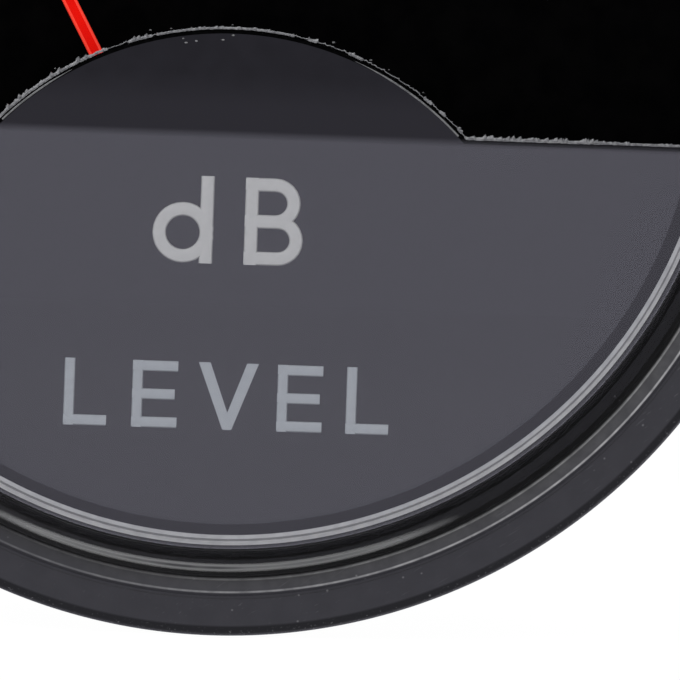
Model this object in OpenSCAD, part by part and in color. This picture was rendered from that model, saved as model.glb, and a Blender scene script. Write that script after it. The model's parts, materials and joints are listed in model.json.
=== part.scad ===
// Analog level meter: a round flush panel meter with a moving-coil movement.
// Millimetres. The panel's front is the plane y = 0, the dial looks towards -Y and +Z is up.
// The origin is the centre of the flange's back face, on the axis of the barrel.
// Inside facing(), x runs to the viewer's right, y runs up and z runs out of the panel.

/* [Housing] */
// Diameter of the flange that covers the edge of the panel hole
flange_d = 52; // [51:0.5:56]
// Height of the raised lip in front of the panel
lip_h = 3.2; // [3:0.1:3.6]
// Diameter of the barrel that goes through the panel hole
barrel_d = 44.4; // [44.2:0.1:45]
// Depth of the barrel behind the panel
barrel_depth = 28.6; // [28.4:0.2:33]
// Thickness of the back wall
back_wall = 1.6; // [1.4:0.1:1.8]

/* [Lens] */
// Height of the lens's flat front in front of the panel
lens_h = 6.6; // [6.4:0.1:7.4]
// Radius of the lens wall at its rounded front edge
lens_r = 22.05; // [21.9:0.05:22.1]
// Radius of the rounding between the wall and the flat front
lens_round = 1.4; // [1:0.1:1.6]

/* [Cover plate] */
// Height of the cover plate's straight top edge below the centre of the dial
cover_drop = 3.54; // [3:0.02:4]
// Radius of the hump over the movement
hump_r = 14.28; // [13.6:0.02:15]
// Height of the hump's top above the centre of the dial
hump_rise = 0.95; // [0.5:0.05:1.5]

/* [Pointer] */
// Height of the pointer's axis below the centre of the dial
axis_drop = 11.3; // [11:0.05:11.4]
// Angle of the pointer at rest, to the left of upright
rest_angle = 28.6; // [26:0.2:30]
// Length of the needle from its axis to its tip
needle_len = 25.6; // [22:0.2:26.4]
// Width of the needle
needle_w = 0.62; // [0.5:0.02:0.7]

/* [Terminals] */
// Diameter of the thread on the terminal studs
stud_d = 3; // [2.8:0.1:3]
// Distance of each terminal stud from the middle
stud_x = 9; // [8.6:0.1:9.4]
// Height of the terminal studs above the barrel's axis
stud_y = 8; // [7.6:0.1:8.4]
// Length of a stud behind the back wall
stud_out = 9.4; // [8:0.2:14]

/* [Hidden] */
$fn = 64;

past = 1;         // how far a cutting shape reaches past the face that it cuts
loose = 0.03;     // radial gap between a fixed pin and its hole
running = 0.07;   // radial gap where a piece turns on another
sink = 0.2;       // how far two shapes of one piece reach into each other

// Housing
flange_r = flange_d / 2;
barrel_r = barrel_d / 2;
bore_r = barrel_r - 1.4;
back_out = -barrel_depth;
back_in = back_out + back_wall;
seat_z = 1.6;                    // the recess that the lens foot stands in
lip_out_r = flange_r - 2;
lip_in_r = flange_r - 2.6;
lip_break = 0.15;
lip_lean = 0.12;                 // how far the lip's outer side leans out down to the shoulder
step_h = 0.4;                    // the lip stands this far above the shoulder
step_w = 0.25;                   // width of the flat step at the foot of the lip
edge_round = 0.45;
edge_drop = 1.45;                // the rounded edge's centre, below the top of the lip
edge_turn = 55;                  // how far the rounding turns in to meet the sloping shoulder
back_round = 0.8;
pad_r = 3.4;
pad_h = 0.6;
stud_hole_gap = 0.1;
screw_hole_r = 1.1;

// Lens
foot_r = lip_in_r - 0.1;
foot_h = 1.1;
foot_top = seat_z + foot_h;
foot_round = 0.3;
wall_foot_r = lens_r + 0.45;     // the wall leans out towards its foot
wall_fillet = 0.12;
lens_wall = 0.85;
lens_front = 1.4;
cavity_r = lens_r - lens_wall;
cavity_lean = 0.15;              // the inside of the wall leans out, so that the mould's core draws
cavity_round = 0.1;

// Cover plate over the movement
cover_z = 3.9;
cover_t = 0.7;
cover_r = cavity_r - 0.1;
cover_edge = 0.14;
skirt_r = bore_r - 0.2;
skirt_t = 0.8;
skirt_drop = 0.4;                // the skirt starts this far below the straight edge
peg_r = 0.7;
peg_x = 17.2;
peg_y = -6.2;

// Dial and chassis
dial_z = 0.5;
dial_t = 0.6;
dial_r = bore_r - 0.2;
dial_back = dial_z - dial_t;
window_r = 8.5;
dial_screw_x = 13;
dial_screw_y = -7;
dial_screw_r = 0.6;
dial_head_r = 1.2;
dial_head_h = 0.65;
dial_screw_end = -3.1;
dial_boss_r = 1.5;
dial_boss_end = -3.7;
fine_slot = 0.3;                 // width and depth of the slots in the small screws
chassis_r = bore_r - 0.3;
chassis_t = 1.6;
chassis_back = dial_back - chassis_t;
rim_w = 1.2;
rim_h = 2.3;
rib_t = 1;
rib_x = 10.6;                    // ribs from the collar out to the rim
rib_w = 3.6;
rib_deep = 1.5;
wire_window = [14, 5];
wire_window_y = 14;
leg_r = 2.8;
leg_neck_r = 2;
stud_sunk = 6.9;                 // length of a stud inside its leg
screw_leg_r = 2.2;
screw_leg_x = 12.5;
screw_sunk = 6.4;
board_z = -23.4;
board_t = 1.2;

// Movement: core, yoke and the stack that the two long bolts clamp
yoke_z = -4;
yoke_h = 8;
yoke_back = yoke_z - yoke_h;
core_r = 4.8;
yoke_in_r = 6.2;
yoke_out_r = 8.4;
collar_r = 8.9;
collar_in_r = 6.4;
bolt_x = 7.3;
bolt_r = 0.5;
pillar_r = 0.9;
bridge_t = 0.8;
front_bridge_z = 2.3;
rear_bridge_z = -16.2;
rear_bridge_back = rear_bridge_z - bridge_t;
bridge_w = 3;
front_bridge_r = 4;
rear_bridge_r = 2.6;
bolt_head_r = 1;
bolt_head_h = 0.7;
core_break = 0.2;
spacer_inset = 0.4;
spacer_half = 20;                // half the angle that a spacer fills
jewel_screw_r = 1.17;
jewel_slot = [0.35, 0.4];
front_screw = [front_bridge_z - 0.4, front_bridge_z + 1.4];
rear_screw = [rear_bridge_back - 1.6, rear_bridge_z + 0.65];
front_jewel_z = front_bridge_z - 0.35;
rear_jewel_z = rear_bridge_z + 0.6;
jewel_r = 0.58;
jewel_h = 0.55;
cup_r = 0.4;
cup_depth = 0.35;
locknut_r = 2.3;
locknut_h = 0.7;

// Moving coil
coil_in_x = 5.1;
coil_mid_x = 5.35;
coil_out_x = 5.7;
coil_w = 2.4;
former_t = 0.2;
former_wrap = 0.25;                                  // the former under the winding
coil_round = 0.4;
coil_gap = 0.4;                                     // between the core's end and the coil
coil_front_in = yoke_z + coil_gap;
coil_back_in = yoke_back - coil_gap;
coil_front = coil_front_in + coil_out_x - coil_in_x;
coil_back = coil_back_in - coil_out_x + coil_in_x;
staff_r = 0.3;
staff_foot = 0.4;
staff_foot_r = 1;
front_staff_end = front_bridge_z - 0.55;
rear_staff_end = rear_bridge_z + 0.8;
pivot_len = 0.45;
pivot_tip_r = 0.02;
bond = 0.01;                                         // glue line round a staff
collet_r = 0.75;
front_collet_z = -1.3;
rear_collet_z = -14.7;
collet_h = 0.8;
hub_r = 0.9;
arm_z = 0.9;
arm_t = 0.3;
arm_w = 0.5;
arm_len = 4.8;
weight_r = 0.45;
weight_l = 0.9;
weight_inset = 1.1;
needle_z = arm_z + arm_t;
needle_t = 0.25;
needle_boss = 0.1;                                   // the hub stands this far above the needle
needle_root = 0.75;                                  // half width at the hub
needle_neck = 6;                                     // where the taper ends
needle_tip = 0.12;                                   // half width at the tip
needle_point = 1.5;                                  // length of the point
chamfer_h = 0.12;
chamfer_foot = needle_w / 2 - 0.02;                  // half width where the chamfers start
needle_face = 0.15;                                  // half width of the flat between them

// Hairsprings: flat spirals of four turns
spring_turns = 4;
spring_in_r = collet_r + 0.02;
spring_out_r = 3.15;
spring_t = 0.11;
spring_h = 0.4;
spring_inset = 0.2;                                 // the springs lie this far inside the collets
spring_steps = 22;                                  // points a turn
anchor_angle = 136;                                 // clockwise from up, clear of the arms
anchor_t = 0.3;

// Stops for the pointer, under the cover plate
stop_swing = 2;                                     // free swing below rest
stop_radius = 9.5;
stop_r = 0.35;
stop_gap = 0.05;
stop_foot_h = 0.3;
stop_over = 1.2;                                    // how far the stops stand above the needle
stop_angle = rest_angle + stop_swing
    + asin((needle_w / 2 + stop_r + stop_gap) / stop_radius);

// Zero adjuster
fork_arm = 7.5;                                     // from the movement's axis to the screw's
zero_y = fork_arm - axis_drop;
eccentric = 1;
eccentric_r = 0.45;
fork_gap = 0.1;
lever_z = rear_bridge_back - 0.6;
lever_t = 0.55;
lever_hub_r = 2.4;
lever_half = 0.8;
fork_half = 1.5;
fork_root = 1.2;                                    // the fork starts this far before the pin
fork_len = 2.4;
fork_slot = 0.3;                                    // the fork's slot starts this far before the pin
tab_half = 0.4;
zero_shaft_r = 1.65;
zero_head_r = 3;
zero_head_h = 1.2;
zero_slot = 0.7;
zero_collar_r = 2.2;
zero_collar_h = 0.8;
zero_tip_r = 1.6;
zero_tip_gap = 0.9;                                 // from the shaft's end to the lever
eccentric_past = 0.4;                               // the pin ends this far past the lever
head_gap = 0.05;

// Terminals
stud_r = stud_d / 2;
stud_core_r = stud_r - 0.25;                       // the thread's core, where the nut covers it
stud_break = 0.3;
pad_back = back_out - pad_h;
washer_t = 0.5;
washer_r = 3.1;
lug_t = 0.3;
lug_r = 2.9;
lug_half = 1.4;
lug_len = 5.2;
lug_tab = 4.2;
lug_bend = 40;
lug_bend_y = 5;
lug_hole_r = 0.7;
lug_hole_y = 2.6;
nut_h = 2.4;
nut_r = 5.5 / sqrt(3);                              // 5.5 across flats
lug_back = pad_back - washer_t - lug_t;
nut_back = lug_back - nut_h;
stud_free = nut_back - 0.5;
stud_end = back_out - stud_out;
screw_r = 0.9;
screw_head_r = 1.9;
screw_head_edge = 0.5;
screw_dome_r = 1.5;
screw_dome_h = 0.75;
cross_half = [1.4, 0.25];
cross_deep = 0.6;

// Parts on the board
lead_r = 0.22;
diode = [0.85, 3.4, 8];                             // radius, body length, span of the leads
diode_y = 2.6;
diode_pitch = 2.9;
diodes = 4;
resistor = [0.95, 6, 11];
resistor_y = 15.2;
board_edge = 0.9;
board_low = 0.6;
wire_r = 0.35;

function arc(c, r, a0, a1, n = 6) =
    [for (i = [0:n]) c + r * [cos(a0 + (a1 - a0) * i / n), sin(a0 + (a1 - a0) * i / n)]];

// One edge of the flat spiral, from the collet out to the anchor at angle 0
function spiral_edge(shift) = [for (i = [0:spring_turns * spring_steps])
    let (part = i / (spring_turns * spring_steps),
         r = spring_in_r + (spring_out_r - spring_t - spring_in_r) * part + shift,
         a = 360 * spring_turns * (part - 1))
    [r * cos(a), r * sin(a)]];

function reversed(list) = [for (i = [len(list) - 1:-1:0]) list[i]];

// A ring of points round a wire's route at point i, square to the route there
function unit(v) = v / norm(v);
function wire_ring(route, i, r, sides) =
    let (last = len(route) - 1,
         along = unit(route[min(i + 1, last)] - route[max(i - 1, 0)]),
         side = unit(cross(along, abs(along[0]) < 0.9 ? [1, 0, 0] : [0, 1, 0])),
         up = cross(along, side))
    [for (k = [0:sides - 1])
        route[i] + r * (cos(360 * k / sides) * side + sin(360 * k / sides) * up)];

module facing() rotate([90, 0, 0]) children();
module on_axis() translate([0, -axis_drop, 0]) children();
module at_rest() on_axis() rotate([0, 0, rest_angle]) children();
module pair(x, y) for (side = [-1, 1]) translate([side * x, y, 0]) children();
module disc(r, z0, z1) translate([0, 0, z0]) cylinder(r = r, h = z1 - z0);
module tube(r_out, r_in, z0, z1) difference() {
    disc(r_out, z0, z1);
    disc(r_in, z0 - past, z1 + past);
}
module block(x0, x1, y0, y1, z0, z1) translate([x0, y0, z0]) cube([x1 - x0, y1 - y0, z1 - z0]);
module rounded(w, h, r) union() {
    square([w - 2 * r, h], center = true);
    square([w, h - 2 * r], center = true);
    for (x = [-1, 1], y = [-1, 1]) translate([x * (w / 2 - r), y * (h / 2 - r)]) circle(r);
}
module slotted(r, z0, z1, slot_w, slot_depth, top) difference() {
    disc(r, z0, z1);
    if (top) block(-r - past, r + past, -slot_w / 2, slot_w / 2, z1 - slot_depth, z1 + past);
    else block(-r - past, r + past, -slot_w / 2, slot_w / 2, z0 - past, z0 + slot_depth);
}

// Housing: flange, lip, lens recess, barrel and back wall in one moulding
module housing_profile() polygon(concat(
    [[barrel_r, 0], [flange_r - lip_break, 0], [flange_r, lip_break]],
    arc([flange_r - edge_round, lip_h - edge_drop], edge_round, 0, edge_turn),
    [[lip_out_r + step_w, lip_h - step_h], [lip_out_r + lip_lean, lip_h - step_h],
     [lip_out_r, lip_h], [lip_in_r + lip_break, lip_h], [lip_in_r, lip_h - lip_break],
     [lip_in_r, seat_z], [bore_r, seat_z], [bore_r, back_in], [0, back_in], [0, back_out]],
    arc([barrel_r - back_round, back_out + back_round], back_round, -90, 0)));

module housing() color("#2b2a2e") facing() difference() {
    union() {
        rotate_extrude() housing_profile();
        pair(stud_x, stud_y) disc(pad_r, pad_back, back_out + back_wall / 2);
    }
    pair(stud_x, stud_y) disc(stud_r + stud_hole_gap, pad_back - past, back_in + past);
    pair(screw_leg_x, -axis_drop) disc(screw_hole_r, back_out - past, back_in + past);
    translate([0, zero_y, 0]) disc(zero_shaft_r + running, back_out - past, back_in + past);
}

module lens_outline() polygon(concat(
    [[cavity_r + cavity_lean, seat_z], [foot_r, seat_z]],
    arc([foot_r - foot_round, foot_top - foot_round], foot_round, 0, 90),
    [[wall_foot_r + wall_fillet, foot_top], [wall_foot_r, foot_top + wall_fillet]],
    arc([lens_r - lens_round, lens_h - lens_round], lens_round, 0, 90, 10),
    [[0, lens_h], [0, lens_h - lens_front]],
    arc([cavity_r - cavity_round, lens_h - lens_front - cavity_round], cavity_round, 90, 0)));

module lens() color("#dfe8ee", 0.4) facing() rotate_extrude() lens_outline();

// Cover plate over the movement: a straight top edge with a hump, and a skirt on the dial
module cover_front(r) polygon([[0, cover_z], [r, cover_z], [r, cover_z + cover_t - cover_edge],
                               [r - cover_edge, cover_z + cover_t], [0, cover_z + cover_t]]);
module cover_below() rotate([90, 0, 90]) linear_extrude(3 * cover_r, center = true)
    polygon([[-2 * cover_r, cover_z], [-cover_drop, cover_z],
             [-cover_drop, cover_z + cover_t - cover_edge],
             [-cover_drop - cover_edge, cover_z + cover_t], [-2 * cover_r, cover_z + cover_t]]);

module lower_cover() color("#4b4a50") facing() union() {
    intersection() {
        disc(cover_r, cover_z - past, cover_z + cover_t + past);
        union() {
            translate([0, hump_rise - hump_r, 0]) rotate_extrude() cover_front(hump_r);
            cover_below();
        }
    }
    intersection() {
        tube(skirt_r, skirt_r - skirt_t, dial_z, cover_z + sink);
        block(-cover_r, cover_r, -cover_r, -cover_drop - skirt_drop, 0, lens_h);
    }
    pair(peg_x, peg_y) disc(peg_r, chassis_back, cover_z + sink);
}

module dial_plate() color("#0c0c0d") facing() difference() {
    disc(dial_r, dial_back, dial_z);
    on_axis() disc(window_r, dial_back - past, dial_z + past);
    pair(dial_screw_x, dial_screw_y) disc(dial_screw_r + loose, dial_back - past, dial_z + past);
    pair(peg_x, peg_y) disc(peg_r + loose, dial_back - past, dial_z + past);
}

module dial_screws() color("silver") facing() pair(dial_screw_x, dial_screw_y) union() {
    slotted(dial_head_r, dial_z, dial_z + dial_head_h, fine_slot, fine_slot, true);
    disc(dial_screw_r, dial_screw_end, dial_z + sink);
}

module pointer_stops() color("#b9b9b9") facing() on_axis() for (side = [-1, 1])
    rotate([0, 0, side * stop_angle]) translate([0, stop_radius, 0]) union() {
        disc(stop_r, dial_z, needle_z + stop_over);
        disc(2 * stop_r, dial_z, dial_z + stop_foot_h);
    }

// Moulded frame that carries the dial, the movement and the board, on four legs
module chassis() color("#6b5a45") facing() difference() {
    union() {
        disc(chassis_r, chassis_back, dial_back);
        tube(chassis_r, chassis_r - rim_w, chassis_back - rim_h, chassis_back + sink);
        on_axis() disc(collar_r, yoke_z, dial_back);
        pair(stud_x, stud_y) union() {
            disc(leg_r, board_z, dial_back - sink);
            disc(leg_neck_r, back_in, board_z + sink);
        }
        pair(screw_leg_x, -axis_drop) disc(screw_leg_r, back_in, dial_back - sink);
        pair(dial_screw_x, dial_screw_y)
            disc(dial_boss_r, dial_boss_end, dial_back - sink);
        pair(rib_x, -axis_drop)
            block(-rib_w / 2, rib_w / 2, -rib_t / 2, rib_t / 2, yoke_z - rib_deep, dial_back - sink);
        block(-stud_x, stud_x, stud_y - rib_t / 2, stud_y + rib_t / 2, yoke_z, dial_back - sink);
    }
    on_axis() disc(collar_in_r, yoke_z - past, past);
    on_axis() pair(bolt_x, 0) disc(bolt_r + loose, yoke_z - past, past);
    pair(stud_x, stud_y) disc(stud_core_r + loose, back_in - past, back_in + stud_sunk + sink / 2);
    pair(screw_leg_x, -axis_drop) disc(screw_r + loose, back_in - past, back_in + screw_sunk + sink);
    pair(dial_screw_x, dial_screw_y) disc(dial_screw_r + loose, dial_screw_end - sink / 2, past);
    pair(peg_x, peg_y) disc(peg_r + loose, chassis_back - past, past);
    translate([0, wire_window_y, 0]) linear_extrude(-2 * board_z, center = true)
        rounded(wire_window[0], wire_window[1], 1.5);
}

module yoke_ring() color("#8d9196") facing() on_axis() difference() {
    tube(yoke_out_r, yoke_in_r, yoke_back, yoke_z);
    pair(bolt_x, 0) disc(bolt_r + loose, yoke_back - past, yoke_z + past);
}

module core_magnet() color("#54565a") facing() on_axis() rotate_extrude()
    polygon([[0, yoke_back], [core_r - core_break, yoke_back], [core_r, yoke_back + core_break],
             [core_r, yoke_z - core_break], [core_r - core_break, yoke_z], [0, yoke_z]]);

// Cast strips that hold the core in the yoke, in the two sectors that the coil never reaches
module core_spacers() color("#c9a24a") facing() on_axis() for (side = [0, 180])
    rotate([0, 0, side]) intersection() {
        tube(yoke_in_r, core_r, yoke_back + spacer_inset, yoke_z - spacer_inset);
        linear_extrude(-3 * yoke_back, center = true)
            polygon([[0, 0], for (a = [-spacer_half, spacer_half]) 2 * yoke_in_r * [sin(a), cos(a)]]);
    }

module bridge(disc_r, z) difference() {
    union() {
        disc(disc_r, z, z + bridge_t);
        block(-bolt_x, bolt_x, -bridge_w / 2, bridge_w / 2, z, z + bridge_t);
        pair(bolt_x, 0) disc(bridge_w / 2, z, z + bridge_t);
    }
    disc(jewel_screw_r + loose, z - past, z + bridge_t + past);
    pair(bolt_x, 0) disc(bolt_r + loose, z - past, z + bridge_t + past);
}
module front_bridge() color("#c9a24a") facing() on_axis() bridge(front_bridge_r, front_bridge_z);
module rear_bridge() color("#c9a24a") facing() on_axis() bridge(rear_bridge_r, rear_bridge_back);

module pillars(z0, z1) pair(bolt_x, 0) tube(pillar_r, bolt_r + loose, z0, z1);
module front_pillars() color("#b5a268") facing() on_axis() pillars(dial_back, front_bridge_z);
module rear_pillars() color("#b5a268") facing() on_axis() pillars(rear_bridge_z, yoke_back);

module through_bolts() color("silver") facing() on_axis() pair(bolt_x, 0) union() {
    slotted(bolt_head_r, rear_bridge_back - bolt_head_h, rear_bridge_back, fine_slot, fine_slot, false);
    disc(bolt_r, rear_bridge_back - sink, front_bridge_z + bridge_t + sink);
}

// Jewel screws: each holds a vee jewel that the tip of a staff turns in
module front_jewel_screw() color("#c9a24a") facing() on_axis() difference() {
    slotted(jewel_screw_r, front_screw[0], front_screw[1], jewel_slot[0], jewel_slot[1], true);
    disc(jewel_r, front_screw[0] - past, front_jewel_z + jewel_h);
}
module rear_jewel_screw() color("#c9a24a") facing() on_axis() difference() {
    slotted(jewel_screw_r, rear_screw[0], rear_screw[1], jewel_slot[0], jewel_slot[1], false);
    disc(jewel_r, rear_jewel_z - jewel_h, rear_screw[1] + past);
}
module jewel() rotate_extrude()
    polygon([[0, -jewel_h], [jewel_r, -jewel_h], [jewel_r, 0], [cup_r, 0], [0, -cup_depth]]);
module front_jewel() color("#b03050") facing() on_axis()
    translate([0, 0, front_jewel_z]) mirror([0, 0, 1]) jewel();
module rear_jewel() color("#b03050") facing() on_axis()
    translate([0, 0, rear_jewel_z]) jewel();

module jewel_locknut() color("#c9a24a") facing() on_axis() difference() {
    translate([0, 0, lever_z - head_gap - locknut_h]) cylinder(r = locknut_r, h = locknut_h, $fn = 6);
    disc(jewel_screw_r + loose, lever_z - 3, lever_z + past);
}

module spring_anchor() color("#c9a24a") facing() on_axis() rotate([0, 0, -anchor_angle])
    block(-anchor_t, anchor_t, spring_out_r, spring_out_r + anchor_t,
          front_collet_z + spring_inset / 2, front_bridge_z);

module hairspring(z) translate([0, 0, z]) linear_extrude(spring_h)
    polygon(concat(spiral_edge(0), reversed(spiral_edge(spring_t))));
module front_hairspring() color("#c77b3a") facing() on_axis()
    rotate([0, 0, 90 - anchor_angle]) hairspring(front_collet_z + spring_inset);
module rear_hairspring() color("#c77b3a") facing() on_axis()
    rotate([0, 0, -90]) hairspring(rear_collet_z + spring_inset);

// Moving coil: an aluminium former with the winding between its two flanges
module coil_loop(half_x, z0, z1, width) translate([0, 0, (z0 + z1) / 2]) rotate([90, 0, 0])
    linear_extrude(width, center = true) rounded(2 * half_x, z1 - z0, coil_round);

module coil_former() color("#c8ccd0") facing() at_rest() difference() {
    union() {
        coil_loop(coil_mid_x, coil_back_in - former_wrap, coil_front_in + former_wrap, coil_w);
        for (side = [-1, 1]) translate([0, side * (coil_w - former_t) / 2, 0])
            coil_loop(coil_out_x, coil_back, coil_front, former_t);
    }
    block(-coil_in_x, coil_in_x, -coil_w, coil_w, coil_back_in, coil_front_in);
}

module coil_winding() color("#b5682e") facing() at_rest() difference() {
    coil_loop(coil_out_x, coil_back, coil_front, coil_w - 2 * former_t);
    coil_loop(coil_mid_x, coil_back_in - former_wrap, coil_front_in + former_wrap, coil_w + past);
}

module staff(foot_z, shaft_end) union() {
    disc(staff_foot_r, foot_z, foot_z + staff_foot);
    disc(staff_r, foot_z, shaft_end);
    translate([0, 0, shaft_end]) cylinder(r1 = staff_r, r2 = pivot_tip_r, h = pivot_len);
}
module front_staff() color("#d5d8dc") facing() on_axis()
    staff(coil_front, front_staff_end);
module rear_staff() color("#d5d8dc") facing() on_axis()
    mirror([0, 0, 1]) staff(-coil_back, -rear_staff_end);

module front_collet() color("#c9a24a") facing() on_axis()
    tube(collet_r, staff_r + bond, front_collet_z, front_collet_z + collet_h);
module rear_collet() color("#c9a24a") facing() on_axis()
    tube(collet_r, staff_r + bond, rear_collet_z, rear_collet_z + collet_h);

module arms(grow) for (turn = [90, 180, 270]) rotate([0, 0, turn])
    block(-arm_w / 2 - grow, arm_w / 2 + grow, 0, arm_len, arm_z - grow, arm_z + arm_t + grow);
module balance_cross() color("#c8ccd0") facing() at_rest() difference() {
    union() {
        disc(hub_r, arm_z - sink, arm_z + arm_t);
        arms(0);
    }
    disc(staff_r + bond, arm_z - past, arm_z + past);
}
module balance_weights() color("#a8702f") facing() at_rest() difference() {
    for (turn = [90, 180, 270]) rotate([0, 0, turn])
        translate([0, arm_len - weight_inset, arm_z + arm_t / 2]) rotate([-90, 0, 0])
            cylinder(r = weight_r, h = weight_l);
    arms(bond);
}

// Half of the needle's outline, from the hub out to the tip
needle_side = [[needle_root, 0], [needle_w / 2, needle_neck], [needle_w / 2, needle_len - needle_point],
               [needle_tip, needle_len]];

module pointer() color("#f23012") facing() at_rest() difference() {
    union() {
        disc(hub_r, needle_z, needle_z + needle_t + needle_boss);
        translate([0, 0, needle_z]) linear_extrude(needle_t)
            polygon(concat(needle_side, reversed([for (p = needle_side) [-p[0], p[1]]])));
        translate([0, needle_len - needle_point - sink, needle_z + needle_t]) rotate([90, 0, 0])
            linear_extrude(needle_len - needle_neck)
                polygon([[-chamfer_foot, -sink / 4], [-chamfer_foot, 0], [-needle_face, chamfer_h],
                         [needle_face, chamfer_h], [chamfer_foot, 0], [chamfer_foot, -sink / 4]]);
    }
    disc(staff_r + bond, needle_z - past, needle_z + past);
}

// Zero adjuster: the screw's eccentric pin swings the lever's fork, and the lever's tab
// holds the outer end of the rear hairspring
module zero_lever() color("#c9a24a") facing() on_axis() difference() {
    union() {
        disc(lever_hub_r, lever_z, lever_z + lever_t);
        block(-lever_half, lever_half, jewel_screw_r, fork_arm - lever_half, lever_z, lever_z + lever_t);
        block(-fork_half, fork_half, fork_arm - fork_root, fork_arm + fork_len,
              lever_z, lever_z + lever_t);
        block(-tab_half, tab_half, -spring_out_r - anchor_t, -jewel_screw_r,
              lever_z, lever_z + lever_t);
        block(-tab_half, tab_half, -spring_out_r - anchor_t, -spring_out_r,
              lever_z, rear_collet_z + collet_h);
    }
    disc(jewel_screw_r + running, lever_z - past, lever_z + past);
    block(-eccentric_r - fork_gap, eccentric_r + fork_gap, fork_arm - fork_slot,
          fork_arm + fork_len + past, lever_z - past, lever_z + past);
}

module zero_screw() color("#3a393d") facing() translate([0, zero_y, 0]) union() {
    slotted(zero_head_r, back_out - head_gap - zero_head_h, back_out - head_gap,
            zero_slot, zero_slot, false);
    disc(zero_shaft_r, back_out - sink, back_in + 2 * sink);
    disc(zero_collar_r, back_in + 2 * head_gap, back_in + 2 * head_gap + zero_collar_h);
    disc(zero_tip_r, back_in + zero_collar_h, lever_z - zero_tip_gap);
    translate([0, eccentric, 0])
        disc(eccentric_r, lever_z - zero_tip_gap - sink, lever_z + lever_t + eccentric_past);
}

module terminal_studs() color("#c8b06a") facing() pair(stud_x, stud_y) union() {
    disc(stud_core_r, stud_free, back_in + stud_sunk);
    disc(stud_r, stud_end + stud_break, stud_free);
    translate([0, 0, stud_end]) cylinder(r1 = stud_r - stud_break, r2 = stud_r, h = stud_break);
}
module terminal_washers() color("silver") facing() pair(stud_x, stud_y)
    tube(washer_r, stud_core_r + loose, pad_back - washer_t, pad_back);

// Solder lugs: an eye under the nut, and a tab bent away from the back wall
module bent_tab() translate([0, lug_bend_y, lug_back]) rotate([-lug_bend, 0, 0]) children();
module solder_lugs() color("#d9cf9a") facing() pair(stud_x, stud_y) difference() {
    union() {
        disc(lug_r, lug_back, lug_back + lug_t);
        block(-lug_half, lug_half, 0, lug_len, lug_back, lug_back + lug_t);
        bent_tab() block(-lug_half, lug_half, -sink / 2, lug_tab, 0, lug_t);
    }
    disc(stud_core_r + loose, lug_back - past, lug_back + past);
    bent_tab() translate([0, lug_hole_y, 0]) disc(lug_hole_r, -past, past);
}
module terminal_nuts() color("#c8b06a") facing() pair(stud_x, stud_y) difference() {
    translate([0, 0, nut_back]) cylinder(r = nut_r, h = nut_h, $fn = 6);
    disc(stud_core_r + loose, nut_back - past, lug_back + past);
}
module case_screws() color("silver") facing() pair(screw_leg_x, -axis_drop) union() {
    difference() {
        rotate_extrude() polygon(concat([[0, back_out], [screw_head_r, back_out]],
            [for (a = [0:15:90]) [screw_head_r - screw_dome_r * (1 - cos(a)),
                                  back_out - screw_head_edge - screw_dome_h * sin(a)]],
            [[0, back_out - screw_head_edge - screw_dome_h]]));
        for (turn = [0, 90]) rotate([0, 0, turn])
            block(-cross_half[0], cross_half[0], -cross_half[1], cross_half[1],
                  back_out - screw_head_edge - screw_dome_h - past,
                  back_out - screw_head_edge - screw_dome_h + cross_deep);
    }
    disc(screw_r, back_out - 2 * sink, back_in + screw_sunk);
}

module rectifier_board() color("#2f5d3a") facing() difference() {
    intersection() {
        disc(chassis_r - board_edge, board_z - board_t, board_z);
        block(-chassis_r, chassis_r, board_low, chassis_r, board_z - board_t - past, board_z + past);
    }
    pair(stud_x, stud_y) disc(leg_neck_r + loose, board_z - board_t - past, board_z + past);
}
// A part with axial leads, [radius, body length, span], lying on the board along x at height y
module axial_part(part, y) translate([0, y, board_z - board_t - part[0]]) union() {
    rotate([0, 90, 0]) cylinder(r = part[0], h = part[1], center = true);
    rotate([0, 90, 0]) cylinder(r = lead_r, h = part[2], center = true);
    pair(part[2] / 2 - lead_r, 0) cylinder(r = lead_r, h = part[0]);
}
module rectifier_diodes() color("#8a3b2a") facing() for (i = [0:diodes - 1])
    axial_part(diode, diode_y + i * diode_pitch);
module series_resistor() color("#c9b48a") facing() axial_part(resistor, resistor_y);

// Leads from the board to the left bolt, which feeds the front bridge, and to the rear bridge
front_lead = [[-6.2, 4, -23.4], [-6.2, 4, -22.4], [-6.4, 1.5, -20.9], [-6.8, -3.5, -20.2],
              [-7.2, -8.5, -20], [-7.3, -11, -19.6], [-7.3, -11.3, -18.7], [-7.3, -11.3, -17.7]];
rear_lead = [[6.2, 4, -23.4], [6.2, 4, -22.4], [6.2, 1.5, -20.8], [6, -3, -19.8], [5.4, -7, -19.4],
             [5, -9.8, -19], [5, -10.4, -18], [5, -10.4, -17]];
module wire(route, r, sides = 8) polyhedron(
    points = [for (i = [0:len(route) - 1]) each wire_ring(route, i, r, sides)],
    faces = concat(
        [[for (k = [0:sides - 1]) k]],
        [[for (k = [sides - 1:-1:0]) (len(route) - 1) * sides + k]],
        [for (i = [0:len(route) - 2], k = [0:sides - 1])
            each [[i * sides + k, (i + 1) * sides + k, i * sides + (k + 1) % sides],
                  [(i + 1) * sides + k, (i + 1) * sides + (k + 1) % sides,
                   i * sides + (k + 1) % sides]]]));
module lead_wires() color("#a03028") facing() {
    wire(front_lead, wire_r);
    wire(rear_lead, wire_r);
}

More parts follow.
